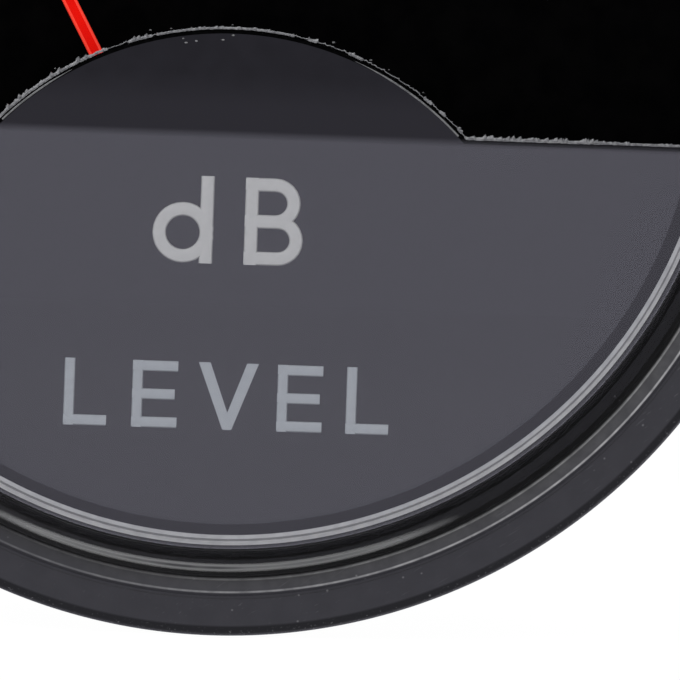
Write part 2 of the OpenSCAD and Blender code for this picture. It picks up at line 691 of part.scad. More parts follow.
housing();
lens();
lower_cover();
dial_plate();
dial_screws();
pointer_stops();
chassis();
yoke_ring();
core_magnet();
core_spacers();
front_bridge();
rear_bridge();
front_pillars();
rear_pillars();
through_bolts();
front_jewel_screw();
rear_jewel_screw();
front_jewel();
rear_jewel();
jewel_locknut();
spring_anchor();
front_hairspring();
rear_hairspring();
coil_former();
coil_winding();
front_staff();
rear_staff();
front_collet();
rear_collet();
balance_cross();
balance_weights();
pointer();
zero_lever();
zero_screw();
terminal_studs();
terminal_washers();
solder_lugs();
terminal_nuts();
case_screws();
rectifier_board();
rectifier_diodes();
series_resistor();
lead_wires();
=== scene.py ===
"""Analog level meter: a round flush panel meter with a moving-coil movement.

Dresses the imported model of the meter. Housing, lens, cover plate, needle, terminals and the zero
screw are modelled again as smooth pieces that stand where their nodes stand. The printing is
drawn on the cover plate and the dial, and every other node keeps its mesh and gets a finish.

Sizes in the classes are millimetres: x to the viewer's right, up along Z, and a height in front
of the panel, which points along -Y. They become metres where a mesh is made.
"""

from __future__ import annotations

import json
import logging
import math
import random
from collections.abc import Callable, Iterator, Sequence
from contextlib import contextmanager
from dataclasses import dataclass
from enum import Enum

import bmesh
import bpy
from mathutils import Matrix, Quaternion, Vector

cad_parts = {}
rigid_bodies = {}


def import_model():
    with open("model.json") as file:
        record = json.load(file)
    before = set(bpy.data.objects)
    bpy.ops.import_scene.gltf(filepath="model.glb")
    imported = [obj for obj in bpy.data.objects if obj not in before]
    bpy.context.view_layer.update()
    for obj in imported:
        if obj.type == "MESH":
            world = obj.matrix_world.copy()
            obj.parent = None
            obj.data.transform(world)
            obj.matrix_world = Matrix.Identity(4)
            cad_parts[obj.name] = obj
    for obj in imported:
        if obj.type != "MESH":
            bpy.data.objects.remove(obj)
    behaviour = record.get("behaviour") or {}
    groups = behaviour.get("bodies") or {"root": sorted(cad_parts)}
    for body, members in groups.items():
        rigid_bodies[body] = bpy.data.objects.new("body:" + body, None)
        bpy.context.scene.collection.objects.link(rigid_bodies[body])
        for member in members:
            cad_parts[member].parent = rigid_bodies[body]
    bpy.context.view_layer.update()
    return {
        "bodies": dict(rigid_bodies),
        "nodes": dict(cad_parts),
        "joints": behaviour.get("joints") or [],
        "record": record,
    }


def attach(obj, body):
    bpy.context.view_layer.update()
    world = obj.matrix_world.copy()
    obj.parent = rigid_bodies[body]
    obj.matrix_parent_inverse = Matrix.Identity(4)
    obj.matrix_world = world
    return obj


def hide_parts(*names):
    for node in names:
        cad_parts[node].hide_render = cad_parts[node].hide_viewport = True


log = logging.getLogger("level_meter")

MM = 0.001
WELD = 2e-7

# Places (x and up, up alone, or the height of a face) and the needle's angle at rest, to the left
# of upright and in degrees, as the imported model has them.
PIVOT_UP = -11.3
REST_ANGLE = 28.6
ZERO_UP = -3.8
TERMINAL = (9.0, 8.0)
CASE_SCREW = (12.5, -11.3)
DIAL_FACE = 0.5
PLATE_FACE = 4.6

Triple = tuple[float, float, float]
Colour = Triple
Word = tuple[tuple[str, float, float], ...]
Point = tuple[float, float]
Socket = bpy.types.NodeSocket
Thing = bpy.types.Object


def at(x: float, up: float, height: float) -> Vector:
    """Point of the frame in metres, from millimetres right, up and in front of the panel."""
    return Vector((x, -height, up)) * MM


def arc(centre: Point, radius: float, start: float, end: float, steps: int) -> list[Point]:
    """Points along an arc.

    Args:
        centre: Centre of the arc.
        radius: Radius of the arc.
        start: Angle of the first point, in degrees from the first axis.
        end: Angle of the last point, in degrees.
        steps: Number of steps from the first point to the last.

    Returns:
        The points, both ends included.
    """
    turns = [math.radians(start + (end - start) * i / steps) for i in range(steps + 1)]
    return [(centre[0] + radius * math.cos(t), centre[1] + radius * math.sin(t)) for t in turns]


# ---------------------------------------------------------------------------------------------
# Modelling by hand
# ---------------------------------------------------------------------------------------------


def only(*things: Thing) -> None:
    """Selects these objects and no others; the first is the active one."""
    bpy.ops.object.select_all(action="DESELECT")
    for thing in things:
        thing.select_set(True)
    bpy.context.view_layer.objects.active = things[0]


@contextmanager
def editing(thing: Thing, mode: str = "VERT", everything: bool = True) -> Iterator[None]:
    """Edit mode on one object.

    Args:
        thing: The object to edit.
        mode: Select mode, VERT, EDGE or FACE.
        everything: Whether all of it is selected at first, or nothing.

    Yields:
        Nothing; the object is in edit mode meanwhile.
    """
    only(thing)
    bpy.ops.object.mode_set(mode="EDIT")
    bpy.ops.mesh.select_mode(type=mode)
    bpy.ops.mesh.select_all(action="SELECT" if everything else "DESELECT")
    yield
    bpy.ops.object.mode_set(mode="OBJECT")


def pick_front(thing: Thing, front: float, within: float = math.inf) -> None:
    """Selects, in edit mode, the edges that lie in the front face of a plate.

    Args:
        thing: The plate, in edit mode.
        front: Height of its front face.
        within: Leaves out the edges that lie at this distance from the middle or beyond.
    """
    mesh = bmesh.from_edit_mesh(thing.data)
    for edge in mesh.edges:
        near = any(math.hypot(v.co.x, v.co.z) < within * MM for v in edge.verts)
        edge.select_set(near and all(v.co.y < -(front - 0.01) * MM for v in edge.verts))
    bmesh.update_edit_mesh(thing.data)


def named(name: str) -> Thing:
    """The object that an operator has just added, with its final name."""
    thing = bpy.context.object
    thing.name = thing.data.name = name
    return thing


def trace(name: str, points: Sequence[Vector]) -> Thing:
    """Draws a chain of edges by extruding one vertex from point to point.

    Args:
        name: Name of the new object.
        points: The chain's points, in metres.

    Returns:
        The object, which has edges and no faces yet.
    """
    bpy.ops.object.select_all(action="DESELECT")
    bpy.ops.mesh.primitive_plane_add(size=MM)
    thing = named(name)
    with editing(thing):
        bpy.ops.mesh.merge(type="CENTER")
        bpy.ops.transform.translate(value=points[0])
        for here, there in zip(points, points[1:]):
            bpy.ops.mesh.extrude_vertices_move(TRANSFORM_OT_translate={"value": there - here})
    return thing


def smooth(thing: Thing, degrees: float = 30.0) -> None:
    """Shades an object smooth, except at edges sharper than an angle."""
    only(thing)
    bpy.ops.object.shade_smooth_by_angle(angle=math.radians(degrees))


def weld() -> None:
    """Merges, in edit mode, the points that coincide, and selects everything again."""
    bpy.ops.mesh.remove_doubles(threshold=WELD)
    bpy.ops.mesh.select_all(action="SELECT")


def tidy(thing: Thing) -> None:
    """Merges what coincides and turns every face outwards."""
    with editing(thing):
        weld()
        bpy.ops.mesh.normals_make_consistent(inside=False)


def lathe(name: str, profile: Sequence[Point], steps: int, middle: Point = (0.0, 0.0)) -> Thing:
    """Turns a closed profile round an axis square to the panel.

    Args:
        name: Name of the new object.
        profile: Closed loop of (radius, height) in millimetres, or an open one that starts and
            ends on the axis.
        steps: Number of steps round the axis.
        middle: The axis's (x, up) in millimetres.

    Returns:
        The turned solid.
    """
    thing = trace(name, [at(middle[0] + r, middle[1], h) for r, h in profile])
    with editing(thing):
        weld()
        bpy.ops.mesh.spin(steps=steps, angle=math.tau, center=at(*middle, 0.0), axis=(0, 1, 0))
    tidy(thing)
    smooth(thing)
    return thing


def plate(name: str, outline: Sequence[Point], back: float, front: float) -> Thing:
    """Fills a closed outline and extrudes it to a thickness.

    Args:
        name: Name of the new object.
        outline: Points (x, up) in millimetres, the first not repeated.
        back: Height of the back face.
        front: Height of the front face.

    Returns:
        The plate.
    """
    thing = trace(name, [at(x, up, back) for x, up in [*outline, outline[0]]])
    with editing(thing, "EDGE"):
        weld()
        bpy.ops.mesh.edge_face_add()
        bpy.ops.mesh.select_all(action="SELECT")
        rise = (0.0, -(front - back) * MM, 0.0)
        bpy.ops.mesh.extrude_region_move(TRANSFORM_OT_translate={"value": rise})
    tidy(thing)
    return thing


def tube(name: str, points: Sequence[Vector], radii: Sequence[float], sides: int = 2) -> Thing:
    """Rounds a chain of edges into a tube whose thickness varies along it.

    Args:
        name: Name of the new object.
        points: The tube's centreline, in metres.
        radii: Radius at each point, in millimetres.
        sides: Bevel resolution of the cross-section.

    Returns:
        The tube as a closed mesh.
    """
    thing = trace(name, points)
    only(thing)
    bpy.ops.object.convert(target="CURVE")
    curve = bpy.context.object.data
    curve.dimensions = "3D"
    curve.bevel_depth = MM
    curve.bevel_resolution = sides
    curve.use_fill_caps = True
    knots = curve.splines[0].points
    order = radii if (knots[0].co.to_3d() - points[0]).length < WELD else list(reversed(radii))
    for knot, radius in zip(knots, order):
        knot.radius = radius
    bpy.ops.object.convert(target="MESH")
    thing = named(name)
    tidy(thing)
    smooth(thing, 50.0)
    return thing


def joined(name: str, things: Sequence[Thing]) -> Thing:
    """Joins objects into one piece."""
    only(*things)
    if len(things) > 1:
        bpy.ops.object.join()
    return named(name)


def carve(thing: Thing, tools: Sequence[Thing], operation: str = "DIFFERENCE") -> None:
    """Applies a boolean with each tool in turn, and throws the tools away.

    Args:
        thing: The object to carve.
        tools: The objects that cut it, or that it is joined or cropped with.
        operation: DIFFERENCE, UNION or INTERSECT.
    """
    for tool in tools:
        only(thing)
        cut = thing.modifiers.new("carve", "BOOLEAN")
        cut.operation, cut.object, cut.solver = operation, tool, "EXACT"
        bpy.ops.object.modifier_apply(modifier=cut.name)
        bpy.data.objects.remove(tool)


def rod(radius: float, back: float, front: float, middle: Point, sides: int = 64) -> Thing:
    """A plain round tool between two heights, used to cut holes."""
    profile = [(0.0, back), (radius, back), (radius, front), (0.0, front)]
    return lathe("tool", profile, sides, middle)


def collar(name: str, radii: Point, heights: Point, steps: int) -> Thing:
    """A square-edged ring between two radii and two heights."""
    (inner, outer), (low, high) = radii, heights
    return lathe(name, [(inner, low), (outer, low), (outer, high), (inner, high), (inner, low)], steps)


def bar(x: Point, up: Point, height: Point) -> Thing:
    """A square-edged tool from its span along x, up and height, used to cut slots."""
    corners = [(x[0], up[0]), (x[1], up[0]), (x[1], up[1]), (x[0], up[1])]
    return plate("tool", corners, height[0], height[1])


def twin(thing: Thing, name: str, shift: Vector) -> Thing:
    """A copy with its own mesh, moved by a shift in metres."""
    only(thing)
    bpy.ops.object.duplicate(linked=False)
    copy = named(name)
    with editing(copy):
        bpy.ops.transform.translate(value=shift)
    return copy


def second_finish(thing: Thing, chosen: Callable[[bpy.types.MeshPolygon], bool]) -> None:
    """Gives the faces that a test picks the piece's second finish, and the others its first."""
    for face in thing.data.polygons:
        face.material_index = int(chosen(face))


# ---------------------------------------------------------------------------------------------
# Finishes
# ---------------------------------------------------------------------------------------------


def feed(socket: Socket, value: object) -> None:
    """Links an input to another node's output, or sets its plain value; a colour gets its alpha."""
    if isinstance(value, bpy.types.NodeSocket):
        socket.id_data.links.new(value, socket)
    else:
        socket.default_value = (*value, 1.0) if socket.type == "RGBA" else value


class Recipe:
    """The node tree of one material, with sizes given in millimetres on the piece."""

    def __init__(self, name: str) -> None:
        """Starts a material whose Principled shader waits for its inputs."""
        self.material = bpy.data.materials.new(name)
        self.material.use_nodes = True
        self.tree = self.material.node_tree
        self.shader = self.tree.nodes["Principled BSDF"]
        self.place: Socket = self.tree.nodes.new("ShaderNodeTexCoord").outputs["Object"]

    def put(self, kind: str, inputs: dict[int | str, object], **settings: object) -> bpy.types.Node:
        """Adds a node.

        Args:
            kind: The node's type.
            inputs: Value or socket for each input, by name or number.
            **settings: The node's own properties.

        Returns:
            The node.
        """
        node = self.tree.nodes.new(kind)
        for key, value in settings.items():
            setattr(node, key, value)
        for key, value in inputs.items():
            feed(node.inputs[key], value)
        return node

    def axis(self, number: int) -> Socket:
        """One of the three object coordinates."""
        return self.put("ShaderNodeSeparateXYZ", {0: self.place}).outputs[number]

    def stretched(self, stretch: Triple, turn: Triple = (0.0, 0.0, 0.0)) -> Socket:
        """Object coordinates turned, in degrees, and then squeezed by a factor on each axis."""
        turned = tuple(math.radians(t) for t in turn)
        aligned = self.put("ShaderNodeMapping", {"Vector": self.place, "Rotation": turned})
        squeezed = {"Vector": aligned.outputs[0], "Scale": stretch}
        return self.put("ShaderNodeMapping", squeezed).outputs[0]

    def noise(self, size: float, detail: float = 2.0, place: Socket | None = None) -> Socket:
        """Soft random pattern with features of a size in millimetres."""
        inputs = {"Vector": place or self.place, "Scale": 1 / (size * MM), "Detail": detail}
        return self.put("ShaderNodeTexNoise", inputs).outputs[0]

    def span(self, value: Socket, low: float, high: float, to: Point = (0.0, 1.0)) -> Socket:
        """Maps a value between two limits to another range, clamped."""
        inputs = {0: value, 1: low, 2: high, 3: to[0], 4: to[1]}
        return self.put("ShaderNodeMapRange", inputs).outputs[0]

    def sum(self, operation: str, first: Socket | float, second: Socket | float = 0.0) -> Socket:
        """Result of a Math node."""
        return self.put("ShaderNodeMath", {0: first, 1: second}, operation=operation).outputs[0]

    def times(self, first: Socket, second: Socket | float) -> Socket:
        """Product of two values."""
        return self.sum("MULTIPLY", first, second)

    def blend(self, share: Socket, low: Colour | Socket, high: Colour | Socket) -> Socket:
        """Colour between two others, by a share from 0 to 1."""
        return self.put("ShaderNodeMix", {0: share, 6: low, 7: high}, data_type="RGBA").outputs[2]

    def radius(self) -> Socket:
        """Distance from the barrel's axis, in millimetres."""
        flat = self.put("ShaderNodeVectorMath", {0: self.place, 1: (1.0, 0.0, 1.0)}, operation="MULTIPLY")
        length = self.put("ShaderNodeVectorMath", {0: flat.outputs[0]}, operation="LENGTH")
        return self.times(length.outputs["Value"], 1 / MM)

    def band(self, radius: Socket, middle: float, inner: float, outer: float, most: float = 1.0) -> Socket:
        """Soft ring round the barrel's axis.

        Args:
            radius: Distance from the axis.
            middle: Radius of the ring.
            inner: Half width within which it is full.
            outer: Half width beyond which it is gone.
            most: Its strength where it is full.

        Returns:
            The mask.
        """
        off = self.sum("ABSOLUTE", self.sum("SUBTRACT", radius, middle))
        return self.span(off, inner, outer, (most, 0.0))

    def specks(self, size: float, share: float, spread: float) -> Socket:
        """Scattered dusty specks, 1 on a speck and 0 elsewhere.

        Args:
            size: Spacing of the places where a speck may lie, in millimetres.
            share: Share of those places that have one.
            spread: Size of a speck as a share of the spacing.

        Returns:
            The mask.
        """
        cells = self.put("ShaderNodeTexVoronoi", {"Vector": self.place, "Scale": 1 / (size * MM)})
        chance = self.put("ShaderNodeSeparateColor", {0: cells.outputs["Color"]}).outputs[0]
        chosen = self.span(chance, share, share * 0.6)
        near = self.span(cells.outputs["Distance"], spread, spread * 0.4)
        return self.times(chosen, near)

    def scratches(self, size: float, turn: float, share: float) -> Socket:
        """Fine straight scratches, 1 on a scratch and 0 elsewhere.

        Args:
            size: Spacing across the scratches, in millimetres.
            turn: Direction in the plane of the panel, in degrees from the right.
            share: Rough share of the surface they may cover.

        Returns:
            The mask.
        """
        lines = self.noise(size, 1.0, self.stretched((0.04, 1.0, 1.0), (0.0, turn, 0.0)))
        patches = self.span(self.noise(size * 40, 2.0), 0.45, 0.6)
        return self.times(self.span(lines, 0.74 - share, 0.8 - share), patches)

    def set(self, name: str, value: Socket | float | Colour) -> None:
        """Links or sets one input of the shader."""
        feed(self.shader.inputs[name], value)

    def source(self, name: str) -> Socket | None:
        """The output that one input of the shader is linked to, if any."""
        links = self.shader.inputs[name].links
        return links[0].from_socket if links else None

    def mix_shaders(self, share: Socket | float, first: Socket, second: Socket) -> None:
        """Makes the surface a mix of two shaders."""
        mixed = self.put("ShaderNodeMixShader", {0: share, 1: first, 2: second})
        feed(self.tree.nodes["Material Output"].inputs["Surface"], mixed.outputs[0])

    def bump(self, height: Socket, depth: float, strength: float = 1.0) -> None:
        """Raises the surface by a pattern.

        Args:
            height: The pattern, from 0 to 1.
            depth: Height of the pattern's peaks, in millimetres.
            strength: Share of the effect.
        """
        inputs = {"Height": height, "Distance": depth * MM, "Strength": strength}
        before = self.source("Normal")
        if before:
            inputs["Normal"] = before
        self.set("Normal", self.put("ShaderNodeBump", inputs).outputs[0])


@dataclass(frozen=True)
class Finish:
    """A surface with mottled colour, uneven gloss and a fine grain.

    Attributes:
        name: Name of the material.
        colour: Main colour, linear.
        shade: Colour that the mottling goes to.
        gloss: Lowest and highest roughness.
        mottle: Size of the mottling.
        grain: Size of the grain.
        depth: Height of the grain.
        metallic: 1 for bare metal, 0 for anything else.
        specular: Strength of the plain reflection; 0.5 is an ordinary plastic.
        glow: Light that the surface gives off though it is no lamp: painted light.
        stretch: Squeeze of the grain on each axis, for drawn or turned metal.
    """

    name: str
    colour: Colour
    shade: Colour
    gloss: Point
    mottle: float = 1.2
    grain: float = 0.12
    depth: float = 0.002
    metallic: float = 0.0
    specular: float = 0.5
    glow: float = 0.0
    stretch: Triple = (1.0, 1.0, 1.0)

    def build(self) -> bpy.types.Material:
        """Makes the material."""
        recipe = Recipe(self.name)
        self.dress(recipe)
        return recipe.material

    def dress(self, recipe: Recipe) -> None:
        """Sets colour, gloss and grain on a recipe."""
        mottling = recipe.span(recipe.noise(self.mottle, 3.0), 0.35, 0.65)
        grain = recipe.noise(self.grain, 2.0, recipe.stretched(self.stretch))
        recipe.set("Base Color", recipe.blend(mottling, self.colour, self.shade))
        recipe.set("Roughness", recipe.span(grain, 0.3, 0.7, self.gloss))
        recipe.set("Metallic", self.metallic)
        recipe.set("Specular IOR Level", self.specular)
        recipe.set("Emission Color", self.colour)
        recipe.set("Emission Strength", self.glow)
        recipe.bump(grain, self.depth)


@dataclass(frozen=True)
class Moulding(Finish):
    """Black moulded plastic with dusty specks, hair scratches, painted edge highlights and a scuffed rim in
    painted shade.

    Attributes:
        dust: Colour of the dusty specks and scuffs.
        worn: Colour of the painted highlights along the edges, where they are strongest.
        edges: Radius, half width and strength of each edge that gets a painted highlight.
        sides: x at the left, where the painted highlights are faint, and at the right, where they are full,
            as if lit from the right.
        deep: Colour of the painted shade on the rim.
        rim: Radius where the rim's painted shade and its scuffs start.
        spots: Share of the places that hold a dusty speck.
    """

    dust: Colour = (0.12, 0.12, 0.125)
    worn: Colour = (0.5, 0.5, 0.51)
    edges: tuple[Triple, ...] = (
        (23.98, 0.07, 1.0),
        (23.4, 0.07, 0.5),
        (23.7, 0.4, 0.1),
        (25.95, 0.09, 0.15),
    )
    sides: Point = (-10.0, 19.0)
    deep: Colour = (0.01, 0.01, 0.011)
    rim: float = 25.55
    spots: float = 0.1

    def dress(self, recipe: Recipe) -> None:
        """Adds dusty specks, scratches, scuffs, painted edge highlights and painted rim shade to the plain
        moulding.
        """
        super().dress(recipe)
        base = recipe.source("Base Color")
        radius = recipe.radius()
        dust = recipe.specks(0.42, self.spots, 0.16)
        hairs = recipe.scratches(0.07, 35.0, 0.05)
        scuffs = recipe.span(recipe.noise(0.12, 3.0), 0.62, 0.7)
        # Painted shade: past the rim radius the colour darkens towards the rim's dark colour.
        dark = recipe.span(radius, self.rim - 0.05, self.rim + 0.05)
        at_rim = recipe.span(radius, self.rim + 0.05, self.rim + 0.3)
        marks = recipe.sum("MAXIMUM", dust, recipe.times(hairs, 0.35))
        marks = recipe.sum("MAXIMUM", marks, recipe.times(scuffs, at_rim))
        colour = recipe.blend(marks, recipe.blend(dark, base, self.deep), self.dust)
        # Painted highlights: pale lines along the edges, faint at the left and full at the right, as if lit
        # from the right.
        left, right = self.sides
        lit_side = recipe.span(recipe.axis(0), left * MM, right * MM, (0.15, 1.0))
        uneven = recipe.times(lit_side, recipe.span(recipe.noise(0.5, 3.0), 0.3, 0.7, (0.5, 1.0)))
        for middle, half, strength in self.edges:
            line = recipe.band(radius, middle, half * 0.3, half, strength)
            colour = recipe.blend(recipe.times(line, uneven), colour, self.worn)
        recipe.set("Base Color", colour)
        # The rim also mirrors less, as part of its painted shade.
        recipe.set("Specular IOR Level", recipe.sum("SUBTRACT", 0.5, recipe.times(dark, 0.3)))
        recipe.bump(hairs, -0.002, 0.6)


@dataclass(frozen=True)
class PlatePaint(Finish):
    """Flat paint that is a shade lighter below a level.

    It is the small part, in the paint, of the light zone that the lens mirrors over the plate.

    Attributes:
        lift: How much of the colour is added there.
        levels: Levels between which it fades.
    """

    lift: float = 0.45
    levels: Point = (-1.0, -2.4)

    def dress(self, recipe: Recipe) -> None:
        """Adds the lighter part to the plain paint."""
        super().dress(recipe)
        high, low = self.levels
        share = recipe.span(recipe.axis(2), high * MM, low * MM)
        brighter = tuple(c * (1 + self.lift) for c in self.colour)
        recipe.set("Base Color", recipe.blend(share, recipe.source("Base Color"), brighter))


@dataclass(frozen=True)
class ClearAcrylic:
    """Polished clear acrylic with a few hairlines.

    Attributes:
        name: Name of the material.
        tint: Colour of the light that goes through.
        index: Refractive index.
    """

    name: str = "polished clear acrylic"
    tint: Colour = (0.975, 0.98, 0.99)
    index: float = 1.49

    def build(self) -> bpy.types.Material:
        """Makes the material."""
        recipe = Recipe(self.name)
        hairs = recipe.scratches(0.05, 60.0, 0.02)
        recipe.set("Base Color", self.tint)
        recipe.set("Transmission Weight", 1.0)
        recipe.set("IOR", self.index)
        recipe.set("Roughness", recipe.times(hairs, 0.06))
        return recipe.material


@dataclass(frozen=True)
class DustyFoot(ClearAcrylic):
    """The lens foot in its groove, with a low index so that it mirrors little, and a painted highlight streak
    at the bottom.

    Attributes:
        dust: Colour of the painted highlight streak.
        levels: Levels between which the streak sets in, towards the bottom.
        middle: Radius of the streak's middle.
        spread: Half width within which the streak is full, and beyond which there is none.
    """

    name: str = "acrylic foot in the groove"
    index: float = 1.27
    dust: Colour = (0.085, 0.085, 0.09)
    levels: Point = (-20.2, -22.6)
    middle: float = 22.92
    spread: Point = (0.03, 0.2)

    def build(self) -> bpy.types.Material:
        """Makes the material."""
        recipe = Recipe(self.name)
        # Painted highlight: a pale, dull streak near the bottom of the foot, where a reflection would lie.
        high, low = self.levels
        near_bottom = recipe.span(recipe.axis(2), high * MM, low * MM)
        band = recipe.band(recipe.radius(), self.middle, *self.spread)
        uneven = recipe.span(recipe.noise(3.0, 2.0), 0.3, 0.6, (0.7, 1.0))
        dust = recipe.times(recipe.times(near_bottom, band), uneven)
        recipe.set("Base Color", recipe.blend(dust, self.tint, self.dust))
        recipe.set("Transmission Weight", recipe.sum("SUBTRACT", 1.0, dust))
        recipe.set("IOR", self.index)
        recipe.set("Roughness", recipe.times(dust, 0.6))
        return recipe.material


@dataclass(frozen=True)
class Winding(Finish):
    """Enamelled wire laid side by side.

    Attributes:
        pitch: Distance from wire to wire.
    """

    pitch: float = 0.09

    def dress(self, recipe: Recipe) -> None:
        """Adds the wires' ridges to the plain enamel."""
        super().dress(recipe)
        inputs = {"Vector": recipe.place, "Scale": 1 / (self.pitch * MM * math.tau)}
        wires = recipe.put("ShaderNodeTexWave", inputs, bands_direction="Z").outputs[1]
        recipe.bump(wires, 0.02, 0.8)


def metal(name: str, colour: Colour, gloss: Point, stretch: Triple = (1.0, 1.0, 1.0)) -> Finish:
    """A bare metal whose tarnish is a darker shade of its own colour."""
    shade = tuple(c * 0.72 for c in colour)
    return Finish(name, colour, shade, gloss, metallic=1.0, stretch=stretch, depth=0.0015)


def ink(name: str, colour: Colour, shade: Colour) -> Finish:
    """Ink of the letters on the cover plate."""
    return Finish(name, colour, shade, (0.5, 0.65), mottle=0.25, depth=0.0008)


def scale_ink(name: str, colour: Colour, shade: Colour) -> Finish:
    """Thinner and duller ink of the scale."""
    return Finish(name, colour, shade, (0.55, 0.7), mottle=0.3, depth=0.0006)


def cement(name: str, colour: Colour, shade: Colour) -> Finish:
    """Pale paint behind the lens, a painted highlight."""
    return Finish(name, colour, shade, (0.4, 0.6), mottle=0.6, depth=0.001)


FINISHES: dict[str, Finish | ClearAcrylic] = {
    # Black moulding: its finish paints highlights along the edges and shade on the rim.
    "black_moulding": Moulding(
        "black moulding", (0.0175, 0.0172, 0.0195), (0.0225, 0.022, 0.025), (0.3, 0.46), grain=0.16
    ),
    "clear_acrylic": ClearAcrylic(),
    "cover_plate": PlatePaint(
        "charcoal paint",
        (0.0214, 0.0206, 0.0254),
        (0.0238, 0.0229, 0.0284),
        (0.55, 0.75),
        depth=0.001,
        specular=0.0,
    ),
    "dial_black": Finish(
        "dead black paint",
        (0.0011, 0.0011, 0.0012),
        (0.0019, 0.0018, 0.0019),
        (0.85, 0.98),
        depth=0.001,
        specular=0.0,
    ),
    "steel": metal("bright zinc", (0.56, 0.57, 0.6), (0.22, 0.38)),
    "phenolic": Finish("brown phenolic", (0.09, 0.055, 0.03), (0.045, 0.028, 0.018), (0.35, 0.5), grain=0.2),
    "soft_iron": metal("turned iron", (0.33, 0.34, 0.36), (0.35, 0.55), (1.0, 12.0, 1.0)),
    "magnet": metal("ground magnet alloy", (0.16, 0.16, 0.17), (0.4, 0.6)),
    "brass": metal("stamped brass", (0.62, 0.43, 0.16), (0.2, 0.36)),
    "jewel": Finish("synthetic ruby", (0.45, 0.02, 0.08), (0.32, 0.01, 0.05), (0.04, 0.1), depth=0.0002),
    "bronze": metal("phosphor bronze", (0.52, 0.26, 0.1), (0.2, 0.34)),
    "aluminium": metal("thin aluminium", (0.66, 0.67, 0.69), (0.3, 0.45), (1.0, 1.0, 10.0)),
    "copper_wire": Winding("enamelled copper", (0.36, 0.1, 0.03), (0.24, 0.06, 0.02), (0.15, 0.3)),
    # Red paint that glows a little though it is no lamp: painted light that brightens the needle.
    "needle_red": Finish(
        "red needle paint",
        (1.0, 0.006, 0.001),
        (0.94, 0.004, 0.001),
        (0.4, 0.5),
        depth=0.0006,
        specular=0.05,
        glow=0.08,
    ),
    "tinned_brass": metal("tin plate", (0.62, 0.6, 0.52), (0.28, 0.45)),
    "board_green": Finish("solder mask", (0.02, 0.1, 0.035), (0.012, 0.07, 0.024), (0.2, 0.35)),
    "diode_glass": Finish("amber glass", (0.3, 0.05, 0.02), (0.2, 0.03, 0.012), (0.05, 0.12)),
    "resistor_body": Finish("lacquered resistor", (0.55, 0.4, 0.22), (0.46, 0.32, 0.17), (0.2, 0.35)),
    "wire_sleeve": Finish("plastic sleeve", (0.4, 0.02, 0.015), (0.28, 0.014, 0.01), (0.35, 0.5)),
    # The finishes above are the record's slots, and those below are for new pieces alone.
    # Lens foot: low index and a painted highlight streak at the bottom.
    "lens_foot": DustyFoot(),
    # Lighter red that glows more, on the needle's chamfers: a painted highlight.
    "needle_edge_highlight": Finish(
        "red paint on the needle's edges",
        (1.0, 0.055, 0.03),
        (1.0, 0.045, 0.025),
        (0.35, 0.45),
        depth=0.0006,
        specular=0.2,
        glow=0.3,
    ),
    # Painted highlight ring in the lens corner: a dim row and a bright row.
    "dim_glint": cement("pale cement", (0.37, 0.37, 0.39), (0.3, 0.3, 0.32)),
    "bright_glint": cement("bright cement", (0.85, 0.85, 0.87), (0.7, 0.7, 0.73)),
    "large_print": ink("light grey print", (0.42, 0.42, 0.425), (0.39, 0.39, 0.395)),
    "small_print": ink("grey print", (0.305, 0.325, 0.355), (0.28, 0.3, 0.33)),
    "scale_print": scale_ink("white scale print", (0.72, 0.72, 0.7), (0.66, 0.66, 0.64)),
    "red_print": scale_ink("red scale print", (0.62, 0.02, 0.012), (0.55, 0.016, 0.01)),
    "burr": Finish(
        "torn film", (0.33, 0.33, 0.34), (0.14, 0.14, 0.15), (0.35, 0.6), mottle=0.12, grain=0.03, depth=0.004
    ),
    # Dull pale film: the crumbs of film, and the painted highlight lines inside the plate's top edge.
    "film_and_glint": Finish(
        "dull film", (0.24, 0.24, 0.245), (0.13, 0.13, 0.135), (0.4, 0.6), mottle=0.3, depth=0.002
    ),
    # Near-black, dull finish for the bevel along the cover plate's top edge: painted shade.
    "painted_edge_shade": Finish(
        "dark cut edge",
        (0.0012, 0.0012, 0.0013),
        (0.003, 0.003, 0.0032),
        (0.7, 0.9),
        mottle=0.2,
        specular=0.0,
    ),
}


class Body(Enum):
    """The bodies that the pieces ride on."""

    CASE = "meter_case"
    COIL = "moving_coil"
    ZERO = "zero_screw"


class Paintshop:
    """Makes each finish once and puts it on the pieces and nodes."""

    def __init__(self) -> None:
        """Starts with no material made."""
        self.made: dict[str, bpy.types.Material] = {}

    def material(self, key: str) -> bpy.types.Material:
        """The material of a finish, made at its first use."""
        if key not in self.made:
            self.made[key] = FINISHES[key].build()
        return self.made[key]

    def coat(self, thing: Thing, *keys: str) -> None:
        """Gives an object its finishes, in the order of its material slots."""
        thing.data.materials.clear()
        for key in keys:
            thing.data.materials.append(self.material(key))

    def coat_nodes(self, frame: dict) -> None:
        """Gives every node of the frame the finish of its own slot."""
        for part in frame["record"]["subparts"]:
            node = frame["nodes"][part["node"]]
            for slot in node.material_slots:
                slot.material = self.material(part["material_slot"])
            log.info("node %s: %s", part["node"], part["material_slot"])


def settle(thing: Thing, body: Body, slot: str, *nodes: str) -> Thing:
    """Puts a finished piece on its body and hides the nodes that it stands for.

    Args:
        thing: The piece.
        body: The body that it rides on.
        slot: The record's material slot of the piece's finish; not used.
        *nodes: The nodes that it replaces, if any.

    Returns:
        The piece.
    """
    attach(thing, body.value)
    if nodes:
        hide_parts(*nodes)
    thing.data.calc_loop_triangles()
    log.info("piece %s: %d triangles", thing.name, len(thing.data.loop_triangles))
    return thing


# ---------------------------------------------------------------------------------------------
# Sub-assemblies
# ---------------------------------------------------------------------------------------------


